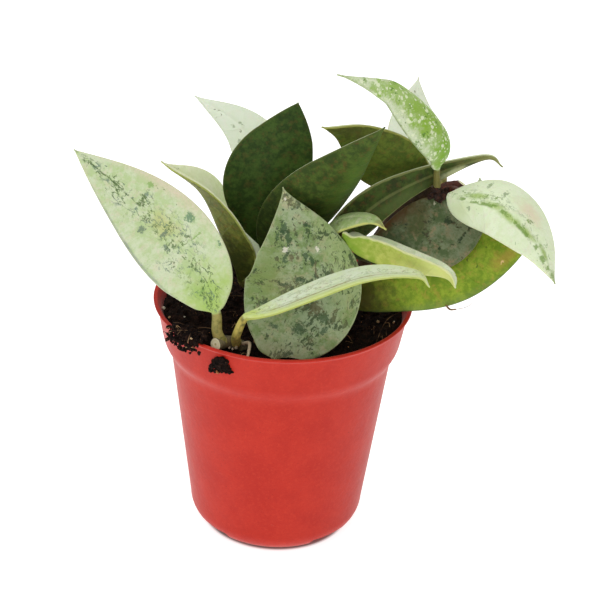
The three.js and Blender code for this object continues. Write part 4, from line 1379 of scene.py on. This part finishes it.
def fleck_share(m, look, spot, across):
    """Irregular flecks, in clusters, and denser near the midrib."""
    cluster = m.sway(spot, (2.6, 3, 0.6), 0.9)
    near = m.times(m.step(across, 0.7, 0.05), look["near"])
    fleck = m.noise(m.moved(spot, scale=(*look["grain"], 1)), 1, 4, 0.68, 0.8)
    limit = FLECK_LIMIT - FLECK_GAIN * look["flecks"]
    return m.times(m.step(m.plus(fleck, near, cluster), limit, limit + 0.07), FLECK_STRENGTH)


def stroke_share(m, look, spot, across):
    """Fine broken strokes, like scratches, round the midrib."""
    wave = m.noise(m.moved(spot, scale=(1.1, 0.55, 1)), 6, 4, 0.62, 0.4)
    line = m.step(m.size(m.minus(wave, 0.5)), 0.034, 0.012)
    broken = m.patches(m.moved(spot, location=(2, 6, 1)), (5, 3, 0.6), 0.4, 0.5)
    frayed = m.plus(across, m.sway(spot, (2.2, 2), 1.2))
    near = m.step(frayed, look["stroke_reach"], look["stroke_reach"] * 0.4)
    return m.times(line, broken, near)


def streak_share(m, look, spot, along, flat_across):
    """The broken dark line on the midrib."""
    wobble = m.sway(spot, (5, 2), 0.08)
    bow = m.times(along, m.minus(1, along), -4 * look["streak_bow"])
    off_rib = m.size(m.plus(flat_across, m.plus(wobble, bow)))
    width = look["streak_width"]
    line = m.step(off_rib, width * 1.5, width * 0.5)
    broken = m.patches(spot, (6, 3, 0.6), 0.56, 0.46)
    start, end = look["streak_span"]
    span = m.times(m.step(along, start - 0.04, start + 0.02), m.step(along, end + 0.04, end - 0.02))
    return m.times(line, broken, span)


def dot_share(m, spot):
    """Small pale dots of two sizes, loosely strewn and only here and there."""
    loose = m.added(spot, m.moved(m.noise_vector(spot, 12), scale=(0.08, 0.08, 0.08)))
    dots = m.math("MAXIMUM", m.dots(loose, 7.5, 0.38), m.dots(loose, 14, 0.36))
    return m.times(dots, m.patches(spot, (3.4, 3), 0.42, 0.54))


def upper_colour(m, look, spot, place, across, along, flat_across):
    """The leaf's upper side: pale, with clouds, flecks, zones, marks and a streak on the midrib."""
    large = m.times(m.noise(spot, 2.2, 5, 0.62, 0.4), 0.55)
    small = m.times(m.noise(spot, 8, 4, 0.7), 0.45)
    colour = m.painted(look["pale"], look["green"], m.step(m.plus(large, small), 0.43, 0.59), look["mottle"])
    blush = m.patches(m.moved(spot, location=(4, 9, 2)), (5, 5, 0.68, 0.3), 0.5, 0.64)
    colour = m.painted(colour, look["blush"], blush, look["blushing"])
    colour = paint_zones(m, colour, place, spot, look["zones"])
    colour = m.painted(colour, look["green"], m.patches(spot, (24, 3, 0.65), 0.48, 0.68), 0.35)
    flecks = fleck_share(m, look, spot, across)
    fleck_paint = m.mix(m.patches(spot, (4, 2), 0.46, 0.56), look["fleck"], look["fleck_tint"])
    colour = m.mix(flecks, colour, fleck_paint)
    colour = paint_marks(m, colour, place, spot, look["marks"])
    if look["strokes"]:
        colour = m.painted(colour, fleck_paint, stroke_share(m, look, spot, across), look["strokes"])
    if look["streak"]:
        streak = streak_share(m, look, spot, along, flat_across)
        colour = m.painted(colour, look["fleck"], streak, look["streak"])
    if look["dots"]:
        colour = m.painted(colour, PALE_DOTS, dot_share(m, spot), look["dots"])
    return colour, flecks


def lower_colour(m, look, spot, place, flat_across):
    """The leaf's lower side: green, finely mottled, with a rusty tint here and there."""
    large = m.times(m.noise(spot, 2.2, 5, 0.65, 0.3), 0.45)
    small = m.times(m.noise(spot, 7, 5, 0.7), 0.55)
    colour = m.mix(m.step(m.plus(large, small), 0.42, 0.58), look["under_shade"], look["under"])
    tint = m.patches(m.moved(spot, location=(7, 2, 5)), (6.5, 5, 0.72), 0.5, 0.64)
    colour = m.painted(colour, look["under_tint"], tint, 0.6)
    colour = m.painted(colour, look["under_shade"], m.patches(spot, (19, 4, 0.7), 0.48, 0.66), 0.45)
    colour = paint_zones(m, colour, place, spot, look["under_zones"])
    colour = paint_marks(m, colour, place, spot, look["under_marks"])
    if look["rib"] > SEEN_RIB:
        colour = m.painted(colour, look["under_margin"], m.step(m.size(flat_across), 0.05, 0.015), 0.25)
    return colour


def vein_share(m, flat):
    """Faint side veins, which leave the midrib aslant towards the tip."""
    x, y, _ = m.split(flat)
    slanted = m.minus(y, m.times(m.size(x), VEIN_SLANT))
    turns = m.math("FRACT", m.plus(m.times(slanted, VEINS_PER_CM), m.sway(flat, (2, 2), 0.5)))
    return m.step(m.size(m.minus(turns, 0.5)), 0.1, 0.0)


def leaf_material(name, look, seed):
    """Both sides of the blade, its margin and its petiole, each leaf with its own noise."""
    m = Look(name)
    flat, place = m.vector("leaf_flat"), m.vector("leaf_place")
    signed, along, side = m.split(place)
    rim = m.split(m.vector("leaf_rim"))[0]
    flat_across = m.split(flat)[0]
    spot = m.moved(flat, location=(3.7 * seed, 1.9 * seed, 0.8 * seed))
    upper, flecks = upper_colour(m, look, spot, place, m.size(signed), along, flat_across)
    lower = lower_colour(m, look, spot, place, flat_across)
    edge = m.step(m.plus(rim, m.sway(spot, (6, 3), 0.7)), 0.42, 0.08)
    upper = m.painted(upper, look["margin"], edge, look["edge"])
    lower = m.painted(lower, look["under_margin"], edge, look["under_edge"])
    colour = m.mix(m.step(side, 0.3, 0.6), lower, upper)
    stalk = m.mix(m.patches(spot, (7, 4, 0.6), 0.42, 0.68), look["petiole"], look["petiole_shade"])
    colour = m.painted(colour, stalk, m.step(along, 0.02, -0.06))
    relief = m.plus(m.noise(spot, 8, 5, 0.62), m.times(flecks, -0.2), m.times(vein_share(m, flat), 0.35))
    rough = m.plus(LEAF_ROUGHNESS, m.times(m.noise(spot, 5, 3), 0.18))
    return m.surface(
        colour, rough, look["gloss"], relief, 0.14,
        Subsurface_Weight=0.1, Subsurface_Radius=(0.7, 1, 0.3), Subsurface_Scale=0.6 * MM,
    )


def pot_material():
    """Red plastic with a fine grain, pale scuffs and specks of dust."""
    m = Look("pot_red_plastic")
    place = m.object_place()
    colour = m.layered(place, POT_RED, POT_LAYERS)
    scuff = m.patches(m.moved(place, scale=(0.7, 0.7, 2.4)), (4.2, 6, 0.75, 0.6), 0.66, 0.76)
    colour = m.painted(colour, SCUFF, scuff, 0.3)
    dust = m.times(m.dots(place, 9, 0.09), m.patches(place, (1.7, 2), 0.52, 0.6))
    colour = m.painted(colour, DUST, dust, 0.8)
    rough = m.plus(0.42, m.times(m.noise(place, 6, 5, 0.65), 0.2))
    relief = m.plus(m.noise(place, 2.5, 3), m.times(m.noise(place, 13, 4, 0.7), 0.3))
    return m.surface(colour, rough, 0.18, relief, 0.1, Sheen_Weight=0.2, Sheen_Roughness=0.32)


def plain_material(name):
    """One of the materials of the small things and the peat."""
    look = PLAIN_LOOKS[name]
    m = Look(name)
    place = m.object_place()
    colour = m.layered(place, look["base"], look["layers"])
    return m.surface(colour, look["rough"], look["gloss"], m.noise(place, *look["relief"]), look["depth"])


def stem_material(name, look):
    """Bark along the stem, pale wood with a ring and a darker pith on its cut end."""
    m = Look(name)
    _, out, branch = m.split(m.vector("stem_place"))
    place = m.object_place()
    bark = m.layered(place, look["shade"], [
        ((6, 5, 0.65), 0.38, 0.64, look["bark"], 1), ((17, 3, 0.6), 0.52, 0.7, look["spot"], 0.7),
    ])
    shoot = m.layered(place, look["branch"], [((16, 3, 0.6), 0.5, 0.7, look["shade"], 1)])
    wood = m.painted(WOOD, WOOD_RING, m.step(m.size(m.minus(out, RING_PLACE)), 0.1, 0.02), 0.4)
    wood = m.painted(wood, PITH, m.step(out, 0.26, 0.12))
    colour = m.mix(m.step(out, 0.97, 0.9), m.mix(branch, bark, shoot), wood)
    relief = m.noise(m.moved(place, scale=(1, 1, 0.5)), 26, 4, 0.7)
    return m.surface(colour, 0.6, 0.25, relief, 0.2)


def floor_material():
    """A pale floor that glows a little, as a lit white table does, but not under the pot.

    The dark floor round the pot's foot is a painted contact shadow.
    """
    m = Look("floor_pale")
    place = m.moved(m.object_place(1 / MM), scale=(1, 1, 0))
    colour = m.mix(m.noise(place, 0.03, 2), *FLOOR_COLOURS)
    # The glow's colour is black under the pot, a painted contact shadow, and white beyond it.
    glow_and_painted_shadow = m.mix(m.step(m.length(place), *PAINTED_SHADOW_EDGE), (0, 0, 0), (255, 255, 255))
    return m.surface(colour, 0.9, 0.1, Emission_Color=glow_and_painted_shadow, Emission_Strength=FLOOR_GLOW)


def dress(piece, material):
    """Gives the piece this material and no other."""
    piece.data.materials.clear()
    piece.data.materials.append(material)


# Stage


def make_camera():
    """The camera, whose view has the photograph's angle and edges."""
    back = Vector((0, -math.cos(math.radians(CAMERA_ELEVATION)), math.sin(math.radians(CAMERA_ELEVATION))))
    right = Matrix.Rotation(math.radians(CAMERA_ROLL), 3, back) @ Vector((1, 0, 0))
    up = back.cross(right)
    place = Vector(CAMERA_AIM) + back * CAMERA_DISTANCE + right * CAMERA_SLIDE_RIGHT + up * CAMERA_SLIDE_UP
    camera = add_object("camera", bpy.data.cameras.new("camera"))
    camera.data.sensor_width = CAMERA_SENSOR
    camera.data.lens = CAMERA_LENS
    camera.matrix_world = Matrix.Translation(place * MM) @ Matrix((right, up, back)).transposed().to_4x4()
    bpy.context.scene.camera = camera


def make_floor():
    """The pale floor, which is stage and not part of the plant."""
    disc = bmesh.new()
    bmesh.ops.create_circle(disc, cap_ends=True, segments=64, radius=FLOOR_RADIUS)
    piece = add_built("floor", disc)
    dress(piece, floor_material())


def area_light(name, place, size, power):
    """A square soft light that faces the plant."""
    light = bpy.data.lights.new(name, "AREA")
    light.size = size
    light.energy = power
    lamp = add_object(name, light)
    lamp.location = place
    lamp.rotation_euler = (Vector(LAMP_AIM) - Vector(place)).to_track_quat("-Z", "Y").to_euler()


def make_light():
    """The white sky and the lamps."""
    world = bpy.data.worlds.new("studio")
    world.use_nodes = True
    sky = world.node_tree.nodes["Background"].inputs
    sky["Color"].default_value = (1, 1, 1, 1)
    sky["Strength"].default_value = WORLD_LIGHT
    bpy.context.scene.world = world
    for name, (place, size, power) in LAMPS.items():
        area_light(name, place, size, power)
    bpy.context.scene.view_settings.view_transform = "Standard"


# Assembly


def main():
    """Makes every piece with its material, and the stage."""
    make_camera()
    for seed, (name, leaf) in enumerate(LEAVES.items(), 1):
        look = {**LEAF_LOOK, **LEAF_LOOKS[name]}
        dress(make_leaf(name, leaf, look["rib"], seed), leaf_material(name + "_skin", look, seed))
    dress(make_pot(), pot_material())
    peat = plain_material("peat_dark")
    dress(make_soil(), peat)
    dress(make_crumbs(), peat)
    dress(make_bits(), plain_material("peat_light_bits"))
    dress(make_fibres(), plain_material("peat_fibres"))
    for name, stem in STEMS.items():
        dress(make_stem(name, stem), stem_material(name + "_bark", STEM_LOOKS[name]))
    for name, lumps in LUMPS.items():
        dress(make_lumps(name, lumps), plain_material(name + "_skin"))
    make_floor()
    make_light()


main()
